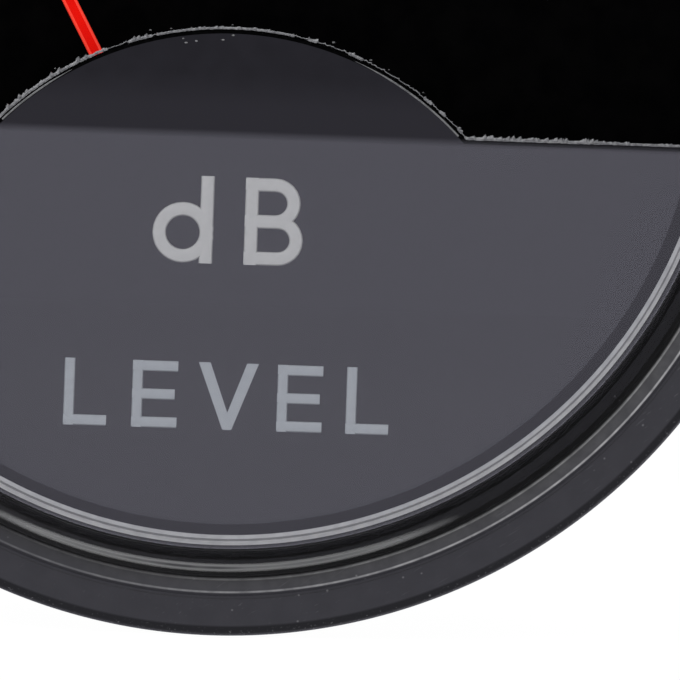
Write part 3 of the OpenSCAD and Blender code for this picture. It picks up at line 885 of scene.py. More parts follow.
@dataclass
class Housing:
    """Flange, lip, lens recess, barrel and back wall, moulded in one.

    Attributes:
        flange_r: Radius of the flange.
        lip: Inner and outer radius of the flat lip.
        lip_top: Height of the lip.
        shoulder_top: Height of the shoulder where it meets the lip.
        seat: Height of the recess that the lens foot stands in.
        bore_r: Inside radius of the barrel.
        barrel_r: Outside radius of the barrel.
        inside: Height of the inside of the back wall.
        back: Height of the outside of the back wall.
        pad: Radius of a terminal's pad and how far it stands out.
        holes: Radius of the holes for a terminal, a case screw and the zero screw.
        mark: Half length and half width of the strokes of the plus and minus marks.
        steps: Steps round the axis.
    """

    flange_r: float = 26.0
    lip: Point = (23.34, 24.0)
    lip_top: float = 3.2
    shoulder_top: float = 2.8
    seat: float = 1.6
    bore_r: float = 20.8
    barrel_r: float = 22.2
    inside: float = -27.0
    back: float = -28.6
    pad: Point = (3.4, 0.6)
    holes: Triple = (1.6, 1.1, 1.72)
    mark: Point = (1.2, 0.28)
    steps: int = 360

    def profile(self) -> list[Point]:
        """Closed profile of the moulding, as (radius, height)."""
        inner, outer = self.lip
        return [
            (self.barrel_r + 0.12, 0.0),
            (self.flange_r - 0.15, 0.0),
            *arc((self.flange_r - 0.15, 0.15), 0.15, -90, 0, 3),
            *arc((self.flange_r - 0.45, 1.75), 0.45, 0, 58, 7),
            (outer + 0.31, self.shoulder_top + 0.005),
            *arc((outer + 0.27, self.shoulder_top + 0.12), 0.12, -90, -164, 4),
            *arc((outer - 0.03, self.lip_top - 0.06), 0.06, 16, 90, 4),
            *arc((inner + 0.16, self.lip_top - 0.16), 0.16, 90, 180, 5),
            (inner, self.seat),
            (self.bore_r, self.seat),
            *arc((self.bore_r - 0.5, self.inside + 0.5), 0.5, 0, -90, 6),
            (0.0, self.inside),
            (0.0, self.back),
            *arc((self.barrel_r - 0.8, self.back + 0.8), 0.8, -90, 0, 8),
            (self.barrel_r, -0.12),
            (self.barrel_r + 0.12, 0.0),
        ]

    def build(self, shop: Paintshop) -> None:
        """Models, drills and finishes the housing."""
        thing = lathe("housing_moulding", self.profile(), self.steps)
        pad_r, proud = self.pad
        terminal, screw, zero = self.holes
        through = (self.back - 2, self.inside + 2)
        pads, holes = [], []
        for side in (-1, 1):
            place = (side * TERMINAL[0], TERMINAL[1])
            pad = [(0.0, self.back - proud), (pad_r - 0.15, self.back - proud)]
            pad += [(pad_r, self.back - proud + 0.15), (pad_r, self.back + 0.5), (0.0, self.back + 0.5)]
            pads.append(lathe("tool", pad, 96, place))
            holes.append(rod(terminal, *through, place))
            holes.append(rod(screw, *through, (side * CASE_SCREW[0], CASE_SCREW[1])))
        holes.append(rod(zero, *through, (0.0, ZERO_UP), 96))
        carve(thing, pads, "UNION")
        carve(thing, holes)
        carve(thing, self.polarity_marks(), "UNION")
        tidy(thing)
        smooth(thing, 28.0)
        shop.coat(thing, "black_moulding")
        settle(thing, Body.CASE, "black_moulding", "housing")

    def polarity_marks(self) -> list[Thing]:
        """A raised minus by the left terminal and a raised plus by the right one."""
        x, up = TERMINAL
        low, high = self.back - 0.35, self.back + 0.3
        long, half = self.mark
        left, right = x + 5.8, -x - 5.8
        quarter = [(half, long), (half, half), (long, half)]
        cross = [(a, b) for a, b in quarter] + [(b, -a) for a, b in quarter]
        cross += [(-a, -b) for a, b in cross]
        return [
            bar((left - long, left + long), (up - half, up + half), (low, high)),
            plate("tool", [(right + a, up + b) for a, b in cross], low, high),
        ]


@dataclass
class Lens:
    """Clear moulding with a flat front, a rounded corner, a wall and a foot.

    Attributes:
        front: Height of the flat front.
        thickness: Thickness of the front.
        wall_r: Radius of the wall at its front.
        corner: Radius of the corner between wall and front.
        inside_r: Inside radius of the wall at its front.
        foot_r: Radius of the foot.
        foot: Lower and upper height of the foot.
        lines: How far the lower and upper edge of each row of the painted highlight ring lies below the
            front's back.
        steps: Steps round the axis.
    """

    front: float = 6.6
    thickness: float = 1.4
    wall_r: float = 22.05
    corner: float = 1.4
    inside_r: float = 21.2
    foot_r: float = 23.26
    foot: Point = (1.6, 2.7)
    lines: tuple[Point, Point] = ((0.3, 0.0), (0.66, 0.36))
    steps: int = 400

    def profile(self) -> list[Point]:
        """Closed profile of the lens, as (radius, height).

        A point beside each corner keeps the shading of the front and of its inside flat.
        """
        low, top = self.foot
        inner = self.front - self.thickness
        return [
            (self.inside_r + 0.15, low),
            (self.foot_r - 0.05, low),
            (self.foot_r, low + 0.05),
            *arc((self.foot_r - 0.3, top - 0.3), 0.3, 0, 90, 8),
            *arc((self.wall_r + 0.57, top + 0.12), 0.12, -90, -176, 5),
            *arc((self.wall_r - self.corner, self.front - self.corner), self.corner, 4, 90, 22),
            (self.wall_r - self.corner - 0.04, self.front),
            (0.0, self.front),
            (0.0, inner),
            (self.inside_r - 0.14, inner),
            *arc((self.inside_r - 0.1, inner - 0.1), 0.1, 90, 0, 4),
            (self.inside_r + 0.15, low),
        ]

    def build(self, shop: Paintshop) -> None:
        """Models and finishes the lens, and lets light and shadow rays pass it."""
        thing = lathe("clear_lens", self.profile(), self.steps)
        smooth(thing, 24.0)
        shop.coat(thing, "clear_acrylic", "lens_foot")
        # The foot's faces take the finish with the painted highlight streak.
        rim, above = (self.wall_r + 0.3) * MM, (self.foot[0] + 0.1) * MM
        second_finish(thing, lambda face: face.center.xz.length > rim and -face.center.y > above)
        thing.visible_shadow = False
        thing.visible_diffuse = False
        settle(thing, Body.CASE, "clear_acrylic", "lens")
        self.bead(shop)

    def bead(self, shop: Paintshop) -> None:
        """Thin pale ring in the corner between wall and front, as a double line: a painted highlight in the
        lens corner.
        """
        radii = (self.inside_r - 0.08, self.inside_r + 0.04)
        top = self.front - self.thickness + 0.02
        rows = [collar("bead", radii, (top - low, top - high), self.steps) for low, high in self.lines]
        thing = joined("lens_glint_ring", rows)
        # Painted highlight in two rows: the row next to the lens front dim, the one behind it bright.
        shop.coat(thing, "dim_glint", "bright_glint")
        between = (top - (self.lines[0][0] + self.lines[1][1]) / 2) * MM
        second_finish(thing, lambda face: -face.center.y < between)
        settle(thing, Body.CASE, "clear_acrylic")


@dataclass
class CoverPlate:
    """Charcoal plate over the movement, with a rough sheared edge along its top.

    Attributes:
        radius: Radius of the plate.
        hump_r: Radius of the hump.
        hump_up: Place of the hump's centre, below the middle.
        edge_up: Place of the straight top edge.
        span: Height of the plate's back and front.
        skirt: Inner and outer radius of the skirt.
        skirt_span: Lower and upper height of the skirt.
        pegs: x and up of the right peg.
        bevel: Width of the rounding along the plate's top edge.
        ragged: Left end, right end, strength and share of gaps of each stretch of torn film.
        crumbs: x and up of the crumbs of film that lie on the plate.
        seed: Seed of the rough edge.
    """

    radius: float = 21.1
    hump_r: float = 14.28
    hump_up: float = -13.33
    edge_up: float = -3.54
    span: Point = (3.9, PLATE_FACE)
    skirt: Point = (19.8, 20.6)
    skirt_span: Point = (0.5, 4.1)
    pegs: Point = (17.2, -6.2)
    bevel: float = 0.19
    ragged: tuple[tuple[float, float, float, float], ...] = (
        (-12.0, -6.2, 1.0, 0.0),
        (-6.2, -5.0, 0.4, 0.3),
        (-5.0, -3.4, 0.9, 0.15),
        (-3.4, 2.5, 0.4, 0.0),
        (2.5, 10.5, 0.8, 0.6),
        (10.5, 16.3, 1.15, 0.0),
        (16.3, 21.0, 0.5, 0.0),
    )
    crumbs: tuple[Point, ...] = ((-2.23, 0.47), (-2.1, 0.29), (-1.65, 0.38), (-0.48, 0.47), (-0.04, 0.69))
    seed: int = 7

    def edge_points(self, step: float, inset: float = 0.0) -> list[Point]:
        """Points along the top edge from right to left.

        Args:
            step: Distance from point to point.
            inset: Distance of the line inside the edge.

        Returns:
            Points (x, up), from the right end over the hump to the left end.
        """
        radius, level = self.hump_r - inset, self.edge_up - inset
        foot = math.sqrt(radius**2 - (level - self.hump_up) ** 2)
        end = math.sqrt((self.radius - inset) ** 2 - level**2)
        rise = math.degrees(math.atan2(level - self.hump_up, foot))
        flat_steps = round((end - foot) / step)
        hump_steps = round(math.radians(180 - 2 * rise) * radius / step)
        flat = [(end + (foot - end) * i / flat_steps, level) for i in range(flat_steps)]
        hump = arc((0.0, self.hump_up), radius, rise, 180 - rise, hump_steps)
        return flat + hump + [(-x, up) for x, up in reversed(flat)]

    def outline(self) -> list[Point]:
        """Closed outline of the plate."""
        top = self.edge_points(0.3)
        turn = math.degrees(math.atan2(self.edge_up, -math.sqrt(self.radius**2 - self.edge_up**2)))
        return top + arc((0.0, 0.0), self.radius, turn, -180 - turn, 170)[1:-1]

    def build(self, shop: Paintshop) -> None:
        """Models the plate with its skirt, pegs and rough edge."""
        back, front = self.span
        thing = plate("cover_panel", self.outline(), back, front)
        with editing(thing, "EDGE", everything=False):
            pick_front(thing, front, self.radius - 0.02)
            bpy.ops.mesh.bevel(offset=self.bevel * MM, segments=3, affect="EDGES")
        low, high = self.skirt_span
        skirt = collar("tool", self.skirt, self.skirt_span, 240)
        carve(skirt, [bar((-25, 25), (self.edge_up - 0.4, 25), (low - 2, high + 2))])
        x, up = self.pegs
        pegs = [rod(0.7, -1.7, high, (side * x, up), 48) for side in (-1, 1)]
        carve(thing, [skirt, *pegs], "UNION")
        tidy(thing)
        smooth(thing, 40.0)
        # The second finish is painted shade on the top edge's bevel.
        shop.coat(thing, "cover_plate", "painted_edge_shade")
        self.darken_edge(thing)
        settle(thing, Body.CASE, "cover_plate", "lower_cover")
        self.burr(shop)
        self.inner_line(shop)
        self.scatter(shop)

    def darken_edge(self, thing: Thing) -> None:
        """Gives the bevel along the sheared top edge of the plate the near-black finish, a painted shade, and
        not its rim or its back.
        """
        rim, back = (self.radius - 0.16) * MM, (self.span[0] - 0.01) * MM

        def sheared(face: bpy.types.MeshPolygon) -> bool:
            """Whether a face is part of the sheared edge."""
            inside = face.center.xz.length <= rim and -face.center.y > back
            return inside and abs(face.normal.y) < 0.98

        second_finish(thing, sheared)

    def burr(self, shop: Paintshop) -> None:
        """Pale torn film that stands up along the sheared edge, lumpy and broken in stretches."""
        dice = random.Random(self.seed)
        line = self.edge_points(0.05)
        height, radii, points = self.span[1] - 0.05, [], []
        lump, left, whole = 0.0, 0, True
        for x, up in line:
            found = [(much, gaps) for low, high, much, gaps in self.ragged if low < x <= high]
            much, gaps = found[0] if found else (0.4, 0.0)
            left -= 1
            if left < 0:
                whole = dice.random() >= gaps
                left = dice.randint(3, 8)
            lump *= 0.5
            if dice.random() < 0.16:
                lump = dice.uniform(0.05, 0.15) * much
            size = (0.042 + 0.028 * much + lump * 0.5 + dice.uniform(0.0, 0.012)) * (1.0 if whole else 0.25)
            on_hump = up > self.edge_up + 0.02
            out = Vector((x, up - self.hump_up)).normalized() if on_hump else Vector((0, 1))
            shift = 0.055 + lump * 0.5 + dice.uniform(-0.01, 0.01)
            points.append(at(x + out.x * shift, up + out.y * shift, height))
            radii.append(size)
        radii[0] = radii[-1] = 0.01
        thing = tube("edge_burr", points, radii, 1)
        shop.coat(thing, "burr")
        settle(thing, Body.CASE, "cover_plate")

    def inner_line(self, shop: Paintshop) -> None:
        """Thin light lines inside the edge, on both flanks of the hump, that fade towards its top: a painted
        highlight along the bevel's inner edge.
        """
        flanks = []
        for low, high, inset in ((5.0, 10.6, 0.15), (-11.2, -6.9, 0.12)):
            line = [p for p in self.edge_points(0.2, inset) if low < p[0] < high]
            line = [(x, up) for x, up in line if up > self.edge_up + 0.03]
            line.sort(key=lambda p: p[1], reverse=True)
            last = len(line) - 1
            radii = [0.046 * min(1.0, 0.1 + 2.5 * i / last) for i in range(last + 1)]
            chain = [at(x, up, self.span[1] - 0.02) for x, up in line]
            flanks.append(tube("flank", chain, radii, 1))
        thing = joined("edge_glint_line", flanks)
        shop.coat(thing, "film_and_glint")
        settle(thing, Body.CASE, "cover_plate")

    def crumb(self, x: float, up: float, height: float, size: float) -> Thing:
        """One flattened crumb of torn film, lying on a surface at a height."""
        bpy.ops.object.select_all(action="DESELECT")
        bpy.ops.mesh.primitive_ico_sphere_add(subdivisions=2, radius=size * MM)
        thing = named("crumb")
        with editing(thing):
            bpy.ops.transform.vertex_random(offset=0.3 * size * MM, seed=round(abs(x) * 100))
            bpy.ops.transform.resize(value=(1.3, 0.4, 0.8))
            bpy.ops.transform.translate(value=at(x, up, height + 0.2 * size))
        return thing

    def scatter(self, shop: Paintshop) -> None:
        """Crumbs of film on the plate, and some that fell on the dial along the edge."""
        dice = random.Random(self.seed + 1)
        fallen = [(x, up) for x, up in self.edge_points(0.9) if x < 10.0 and dice.random() < 0.25]
        things = [self.crumb(x, up, self.span[1], dice.uniform(0.035, 0.055)) for x, up in self.crumbs]
        for x, up in fallen:
            out = 1 + dice.uniform(0.018, 0.035)
            up = self.hump_up + (up - self.hump_up) * out
            things.append(self.crumb(x * out, up, DIAL_FACE, dice.uniform(0.03, 0.06)))
        thing = joined("film_crumbs", things)
        shop.coat(thing, "film_and_glint")
        settle(thing, Body.CASE, "cover_plate")


@dataclass
class Needle:
    """Thin flat needle with chamfered edges on a round hub.

    Attributes:
        length: Distance from the axis to the tip.
        root: Half width at the hub.
        half: Half width of the parallel stretch.
        tip: Half width at the tip.
        neck: Distance from the axis to the start of the parallel stretch.
        point: Length of the tapered tip.
        hub_r: Radius of the hub.
        bore_r: Radius of the staff's hole.
        span: Height of the back and of the face.
        chamfer: Width of the chamfers.
    """

    length: float = 25.6
    root: float = 0.75
    half: float = 0.31
    tip: float = 0.12
    neck: float = 6.0
    point: float = 1.5
    hub_r: float = 0.9
    bore_r: float = 0.31
    span: Point = (1.2, 1.57)
    chamfer: float = 0.13

    def outline(self) -> list[Point]:
        """Closed outline of the needle at rest."""
        side = [
            (self.root, 0.0),
            (self.half, self.neck),
            (self.half, self.length - self.point),
            (self.tip, self.length),
        ]
        turn = math.radians(REST_ANGLE)
        cos, sin = math.cos(turn), math.sin(turn)
        both = side + [(-width, reach) for width, reach in reversed(side)]
        return [(wide * cos - reach * sin, PIVOT_UP + wide * sin + reach * cos) for wide, reach in both]

    def build(self, shop: Paintshop) -> None:
        """Models and paints the needle."""
        back, face = self.span
        pivot = (0.0, PIVOT_UP)
        thing = plate("needle", self.outline(), back, face)
        with editing(thing, "EDGE", everything=False):
            pick_front(thing, face)
            bpy.ops.mesh.bevel(offset=self.chamfer * MM, segments=2, profile=0.6, affect="EDGES")
        hub = [(0.0, back), (self.hub_r, back), (self.hub_r, face - 0.05), (self.hub_r - 0.06, face + 0.01)]
        carve(thing, [lathe("tool", [*hub, (0.0, face + 0.01)], 64, pivot)], "UNION")
        carve(thing, [rod(self.bore_r, back - 1, face + 1, pivot, 32)])
        tidy(thing)
        smooth(thing, 20.0)
        shop.coat(thing, "needle_red", "needle_edge_highlight")
        # The chamfers take the lighter red, a painted highlight.
        second_finish(thing, lambda face: 0.15 < -face.normal.y < 0.97)
        settle(thing, Body.COIL, "needle_red", "pointer")


@dataclass
class RearFittings:
    """Threaded terminals with their nuts and washers, and the slotted zero screw.

    Attributes:
        thread: Core and outer radius of the thread.
        pitch: Pitch of the thread.
        play: How far the nut and the washer stand off the thread's core.
        stud: Heights of the stud's free end, the end of its thread and its root.
        nut: Height of the back and the front of the nut.
        nut_r: Radius of the nut over its corners.
        washer: Height of the back and the front of the washer.
        washer_r: Radius of the washer.
        head: Radius, back and front of the zero screw's head.
        slot: Half width of its slot, and the height that it is cut to.
        shaft_r: Radius of its shaft behind and before its collar.
        collar: Radius, back and front of its collar.
        pin: Radius of its eccentric pin and how far that stands off the axis.
        lever: Height of the back of the zero lever.
    """

    thread: Point = (1.25, 1.5)
    pitch: float = 0.5
    play: float = 0.03
    stud: Triple = (-38.0, -32.9, -20.1)
    nut: Point = (-32.4, -30.0)
    nut_r: float = 5.5 / math.sqrt(3)
    washer: Point = (-29.7, -29.2)
    washer_r: float = 3.1
    head: Triple = (3.0, -29.85, -28.65)
    slot: Point = (0.35, -29.15)
    shaft_r: Point = (1.65, 1.6)
    collar: Triple = (2.2, -26.9, -26.1)
    pin: Point = (0.45, 1.0)
    lever: float = -17.6

    def both(self, name: str, right: Thing) -> Thing:
        """Joins a piece made for the right terminal with its copy for the left one."""
        left = twin(right, name, Vector((-2 * TERMINAL[0] * MM, 0.0, 0.0)))
        return joined(name, [right, left])

    def build(self, shop: Paintshop) -> None:
        """Models and finishes every fitting."""
        for thing, slot, node in (
            (self.both("terminal_threads", self.threaded()), "brass", "terminal_studs"),
            (self.both("terminal_hex_nuts", self.hex_nut()), "brass", "terminal_nuts"),
            (self.both("terminal_flat_washers", self.flat_washer()), "steel", "terminal_washers"),
        ):
            smooth(thing, 30.0)
            shop.coat(thing, slot)
            settle(thing, Body.CASE, slot, node)
        thing = self.slotted_screw()
        shop.coat(thing, "black_moulding")
        settle(thing, Body.ZERO, "black_moulding", "zero_screw")

    def threaded(self) -> Thing:
        """Stud with a chamfered end and a thread cut as close rings."""
        core, outer = self.thread
        end, free, root = self.stud
        rings, valley = [], core + 0.02
        for turn in range(int((free - end - 0.4) / self.pitch)):
            for radius, share in ((outer, 0.12), (outer, 0.24), (valley, 0.56), (valley, 0.68)):
                rings.append((radius, end + 0.3 + (turn + share) * self.pitch))
        profile = [(0.0, end), (core, end), *rings, (outer, rings[-1][1] + 0.16), (outer, free)]
        return lathe("stud", [*profile, (core, free), (core, root), (0.0, root)], 64, TERMINAL)

    def hex_nut(self) -> Thing:
        """Hexagon nut whose corners are turned down on both faces."""
        back, front = self.nut
        corners = arc(TERMINAL, self.nut_r, 0, 300, 5)
        thing = plate("nut", corners, back, front)
        flat, turned = self.nut_r * math.cos(math.pi / 6), 0.24
        drum = [(0.0, back), (flat - 0.1, back), (self.nut_r + 0.02, back + turned)]
        drum += [(self.nut_r + 0.02, front - turned), (flat - 0.1, front), (0.0, front)]
        carve(thing, [lathe("tool", drum, 96, TERMINAL)], "INTERSECT")
        bore = self.thread[0] + self.play
        hole = [(0.0, back - 1), (self.thread[1] + 0.2, back - 0.1), (bore, back + 0.25)]
        carve(thing, [lathe("tool", [*hole, (bore, front + 1), (0.0, front + 1)], 64, TERMINAL)])
        tidy(thing)
        return thing

    def flat_washer(self) -> Thing:
        """Flat washer with rounded outer corners."""
        back, front = self.washer
        inner, outer = self.thread[0] + self.play, self.washer_r
        profile = [(inner, back), *arc((outer - 0.12, back + 0.12), 0.12, -90, 0, 4)]
        profile += [*arc((outer - 0.12, front - 0.12), 0.12, 0, 90, 4), (inner, front), (inner, back)]
        return lathe("washer", profile, 96, TERMINAL)

    def slotted_screw(self) -> Thing:
        """Zero screw: slotted head, shaft, collar and the eccentric pin that drives the lever."""
        head_r, back, front = self.head
        collar_r, low, high = self.collar
        behind, before = self.shaft_r
        half, cut = self.slot
        pin_r, throw = self.pin
        end = self.lever - 0.9
        profile = [(0.0, back), *arc((head_r - 0.25, back + 0.25), 0.25, -90, 0, 5), (head_r, front)]
        profile += [(behind, front), (behind, low), (collar_r, low), (collar_r, high), (before, high)]
        thing = lathe("zero_screw_turned", [*profile, (before, end), (0.0, end)], 96, (0.0, ZERO_UP))
        carve(thing, [bar((-4, 4), (ZERO_UP - half, ZERO_UP + half), (back - 1.15, cut))])
        pin = rod(pin_r, self.lever - 1.1, self.lever + 0.95, (0.0, ZERO_UP + throw), 32)
        carve(thing, [pin], "UNION")
        tidy(thing)
        smooth(thing, 30.0)
        return thing


class Pen:
    """Draws flat printing: strokes of a pen, filled shapes and plain numbers.

    Each mark lies a hair above the one before, so that no two faces coincide where they cross.
    """

    lift = 0.0006

    def __init__(self, height: float, thickness: float = 0.02) -> None:
        """Takes the height of the printed surface and how far the print stands on it."""
        self.height = height
        self.thickness = thickness
        self.marks: list[Thing] = []

    def stroke(self, line: Sequence[Point], width: float, past: float = 0.0) -> None:
        """Draws one stroke along a line of points (x, up).

        Args:
            line: Points of the stroke.
            width: Width of the stroke.
            past: How far the stroke runs on past both ends of the line.
        """
        half = width / 2
        points = [Vector(p) for p in line]
        first, last = (points[0] - points[1]).normalized(), (points[-1] - points[-2]).normalized()
        points = [points[0] + first * past, *points[1:-1], points[-1] + last * past]
        thing = tube("mark", [at(p.x, p.y, self.height) for p in points], [half] * len(points), 2)
        with editing(thing):
            flat = self.thickness / half
            centre = at(0.0, 0.0, self.height)
            bpy.ops.transform.resize(value=(1.0, flat, 1.0), center_override=centre)
            lift = self.lift * len(self.marks) * MM
            bpy.ops.transform.translate(value=(0.0, -lift, 0.0))
        self.marks.append(thing)

    def shape(self, outline: Sequence[Point]) -> None:
        """Fills a closed outline of points (x, up)."""
        raised = self.height + self.lift * len(self.marks)
        self.marks.append(plate("mark", outline, raised - self.thickness, raised + self.thickness))

    def number(self, text: str, size: float, place: Point, lean: float = 0.0) -> None:
        """Sets a plain number.

        Args:
            text: The number.
            size: Size of the type.
            place: Middle of the number, as (x, up).
            lean: Turn to the right, in degrees.
        """
        bpy.ops.object.select_all(action="DESELECT")
        bpy.ops.object.text_add()
        thing = bpy.context.object
        thing.data.body, thing.data.size = text, size * MM
        thing.data.align_x, thing.data.align_y = "CENTER", "CENTER"
        thing.data.extrude = self.thickness * MM
        thing.data.resolution_u = 6
        bpy.ops.object.convert(target="MESH")
        thing = bpy.context.object
        thing.rotation_euler = (math.pi / 2, math.radians(lean), 0.0)
        thing.location = at(place[0], place[1], self.height)
        bpy.ops.object.transform_apply(location=True, rotation=True, scale=True)
        tidy(thing)
        self.marks.append(thing)

    def finish(self, name: str, shop: Paintshop, ink: str, slot: str) -> Thing:
        """Joins what was drawn so far into one piece and inks it."""
        thing = joined(name, self.marks)
        self.marks = []
        shop.coat(thing, ink)
        return settle(thing, Body.CASE, slot)


@dataclass
class CoverPrint:
    """Generic words printed on the cover plate: two large letters over five small ones.

    Attributes:
        large: Top and bottom of the large letters.
        small: Top and bottom of the small letters.
        large_pen: Stroke of the large letters.
        small_pen: Stroke of the small letters.
        large_word: Each large letter with its left and right end.
        small_word: Each small letter with its left and right end.
    """

    large: Point = (-5.55, -9.4)
    small: Point = (-13.75, -16.7)
    large_pen: float = 0.6
    small_pen: float = 0.47
    large_word: Word = (("d", -3.3, -0.62), ("B", 0.75, 3.35))
    small_word: Word = (
        ("L", -6.95, -5.05),
        ("E", -3.95, -1.95),
        ("V", -1.05, 1.6),
        ("E", 2.45, 4.45),
        ("L", 5.5, 7.4),
    )

    def letter(self, kind: str, left: float, right: float, rows: Point, pen: float) -> list[list[Point]]:
        """Strokes of one letter.

        Args:
            kind: The letter: d, B, L or E.
            left: Left end of the letter.
            right: Right end of the letter.
            rows: Top and bottom of the letter.
            pen: Width of the stroke.

        Returns:
            Lines of points (x, up), for the middle of the stroke.
        """
        half = pen / 2
        left, right, top, low = left + half, right - half, rows[0] - half, rows[1] + half
        mid = (top + low) / 2
        if kind == "L":
            return [[(left, top), (left, low)], [(left, low), (right, low)]]
        if kind == "E":
            bars = [[(left, y), (right - inset, y)] for y, inset in ((top, 0.0), (mid, 0.12), (low, 0.0))]
            return [[(left, top), (left, low)], *bars]
        if kind == "B":
            upper, lower = (top - mid) / 2, (mid - low) / 2
            bowls = []
            for centre, radius in ((mid + upper, upper), (mid - lower, lower)):
                reach = right - radius - (0.15 if radius == upper and centre > mid else 0.0)
                bend = arc((reach, centre), radius, 90, -90, 12)
                bowls.append([(left, centre + radius), *bend, (left, centre - radius)])
            return [[(left, top), (left, low)], *bowls]
        radius = (right - left) / 2
        ring = arc((right - radius, low + radius), radius, 0, 360, 28)
        return [[(right, top), (right, low)], ring]

    def wedge(self, left: float, right: float, rows: Point, pen: float) -> list[Point]:
        """Outline of the letter V, level at its top and foot."""
        top, low = rows
        middle, wide, foot = (left + right) / 2, pen * 1.1, pen * 0.42
        crotch = low + pen * 1.6
        half = [(right, top), (right - wide, top), (middle, crotch)]
        mirrored = [(2 * middle - x, up) for x, up in half[:2]]
        return [(middle + foot, low), *half, *reversed(mirrored), (middle - foot, low)]

    def build(self, shop: Paintshop) -> None:
        """Prints both lines of letters."""
        pen = Pen(PLATE_FACE)
        for size, word, rows, width in (
            ("large", self.large_word, self.large, self.large_pen),
            ("small", self.small_word, self.small, self.small_pen),
        ):
            for kind, left, right in word:
                if kind == "V":
                    pen.shape(self.wedge(left, right, rows, width))
                    continue
                for line in self.letter(kind, left, right, rows, width):
                    pen.stroke(line, width, width / 2)
            pen.finish(f"print_{size}", shop, f"{size}_print", "cover_plate")


@dataclass
class DialPrint:
    """Level scale on the dial, above the photograph's crop.

    Attributes:
        radius: Radius of the scale's line.
        inner: How far inside it the line of the percent scale lies.
        zero: Share of the full deflection at 0 dB, where the red arc starts.
    """

    radius: float = 22.6
    inner: float = 1.0
    zero: float = 0.708

    def lean(self, share: float) -> float:
        """Lean to the right, in degrees, at a share of the full deflection."""
        return -REST_ANGLE * (1 - 2 * share)

    def spot(self, share: float, radius: float) -> Point:
        """Place at a share of the full deflection and a radius from the pivot."""
        turn = math.radians(self.lean(share))
        return radius * math.sin(turn), PIVOT_UP + radius * math.cos(turn)

    def line(self, start: float, end: float, radius: float) -> list[Point]:
        """Points of an arc between two shares of the deflection."""
        steps = max(6, round(60 * abs(end - start)))
        return [self.spot(start + (end - start) * i / steps, radius) for i in range(steps + 1)]

    def build(self, shop: Paintshop) -> None:
        """Prints the white scale and the red overload arc with their numbers."""
        pen = Pen(DIAL_FACE, 0.012)
        below = self.radius - self.inner
        pen.stroke(self.line(0.0, self.zero, self.radius), 0.22)
        pen.stroke(self.line(0.0, 1.0, below), 0.1)
        for level in (-20, -10, -7, -5, -3, -2, -1, 0):
            self.decibels(pen, level)
        for tenth in range(11):
            share = self.zero * tenth / 10
            drop = 0.9 if tenth % 2 == 0 else 0.5
            pen.stroke([self.spot(share, below), self.spot(share, below - drop)], 0.1)
            if tenth % 2 == 0:
                pen.number(str(tenth * 10), 1.1, self.spot(share, below - 1.7), self.lean(share))
        pen.finish("scale_white", shop, "scale_print", "dial_black")
        pen.stroke(self.line(self.zero, 1.0, self.radius + 0.12), 0.5)
        for level in (1, 2, 3):
            self.decibels(pen, level)
        pen.finish("scale_red", shop, "red_print", "dial_black")

    def decibels(self, pen: Pen, level: int) -> None:
        """Prints a stroke and its number; the deflection follows the voltage, and is full at 3 dB."""
        share = round(10 ** ((level - 3) / 20), 3)
        pen.stroke([self.spot(share, self.radius), self.spot(share, self.radius + 1.5)], 0.16)
        pen.number(str(abs(level)), 1.7, self.spot(share, self.radius + 2.7), self.lean(share))


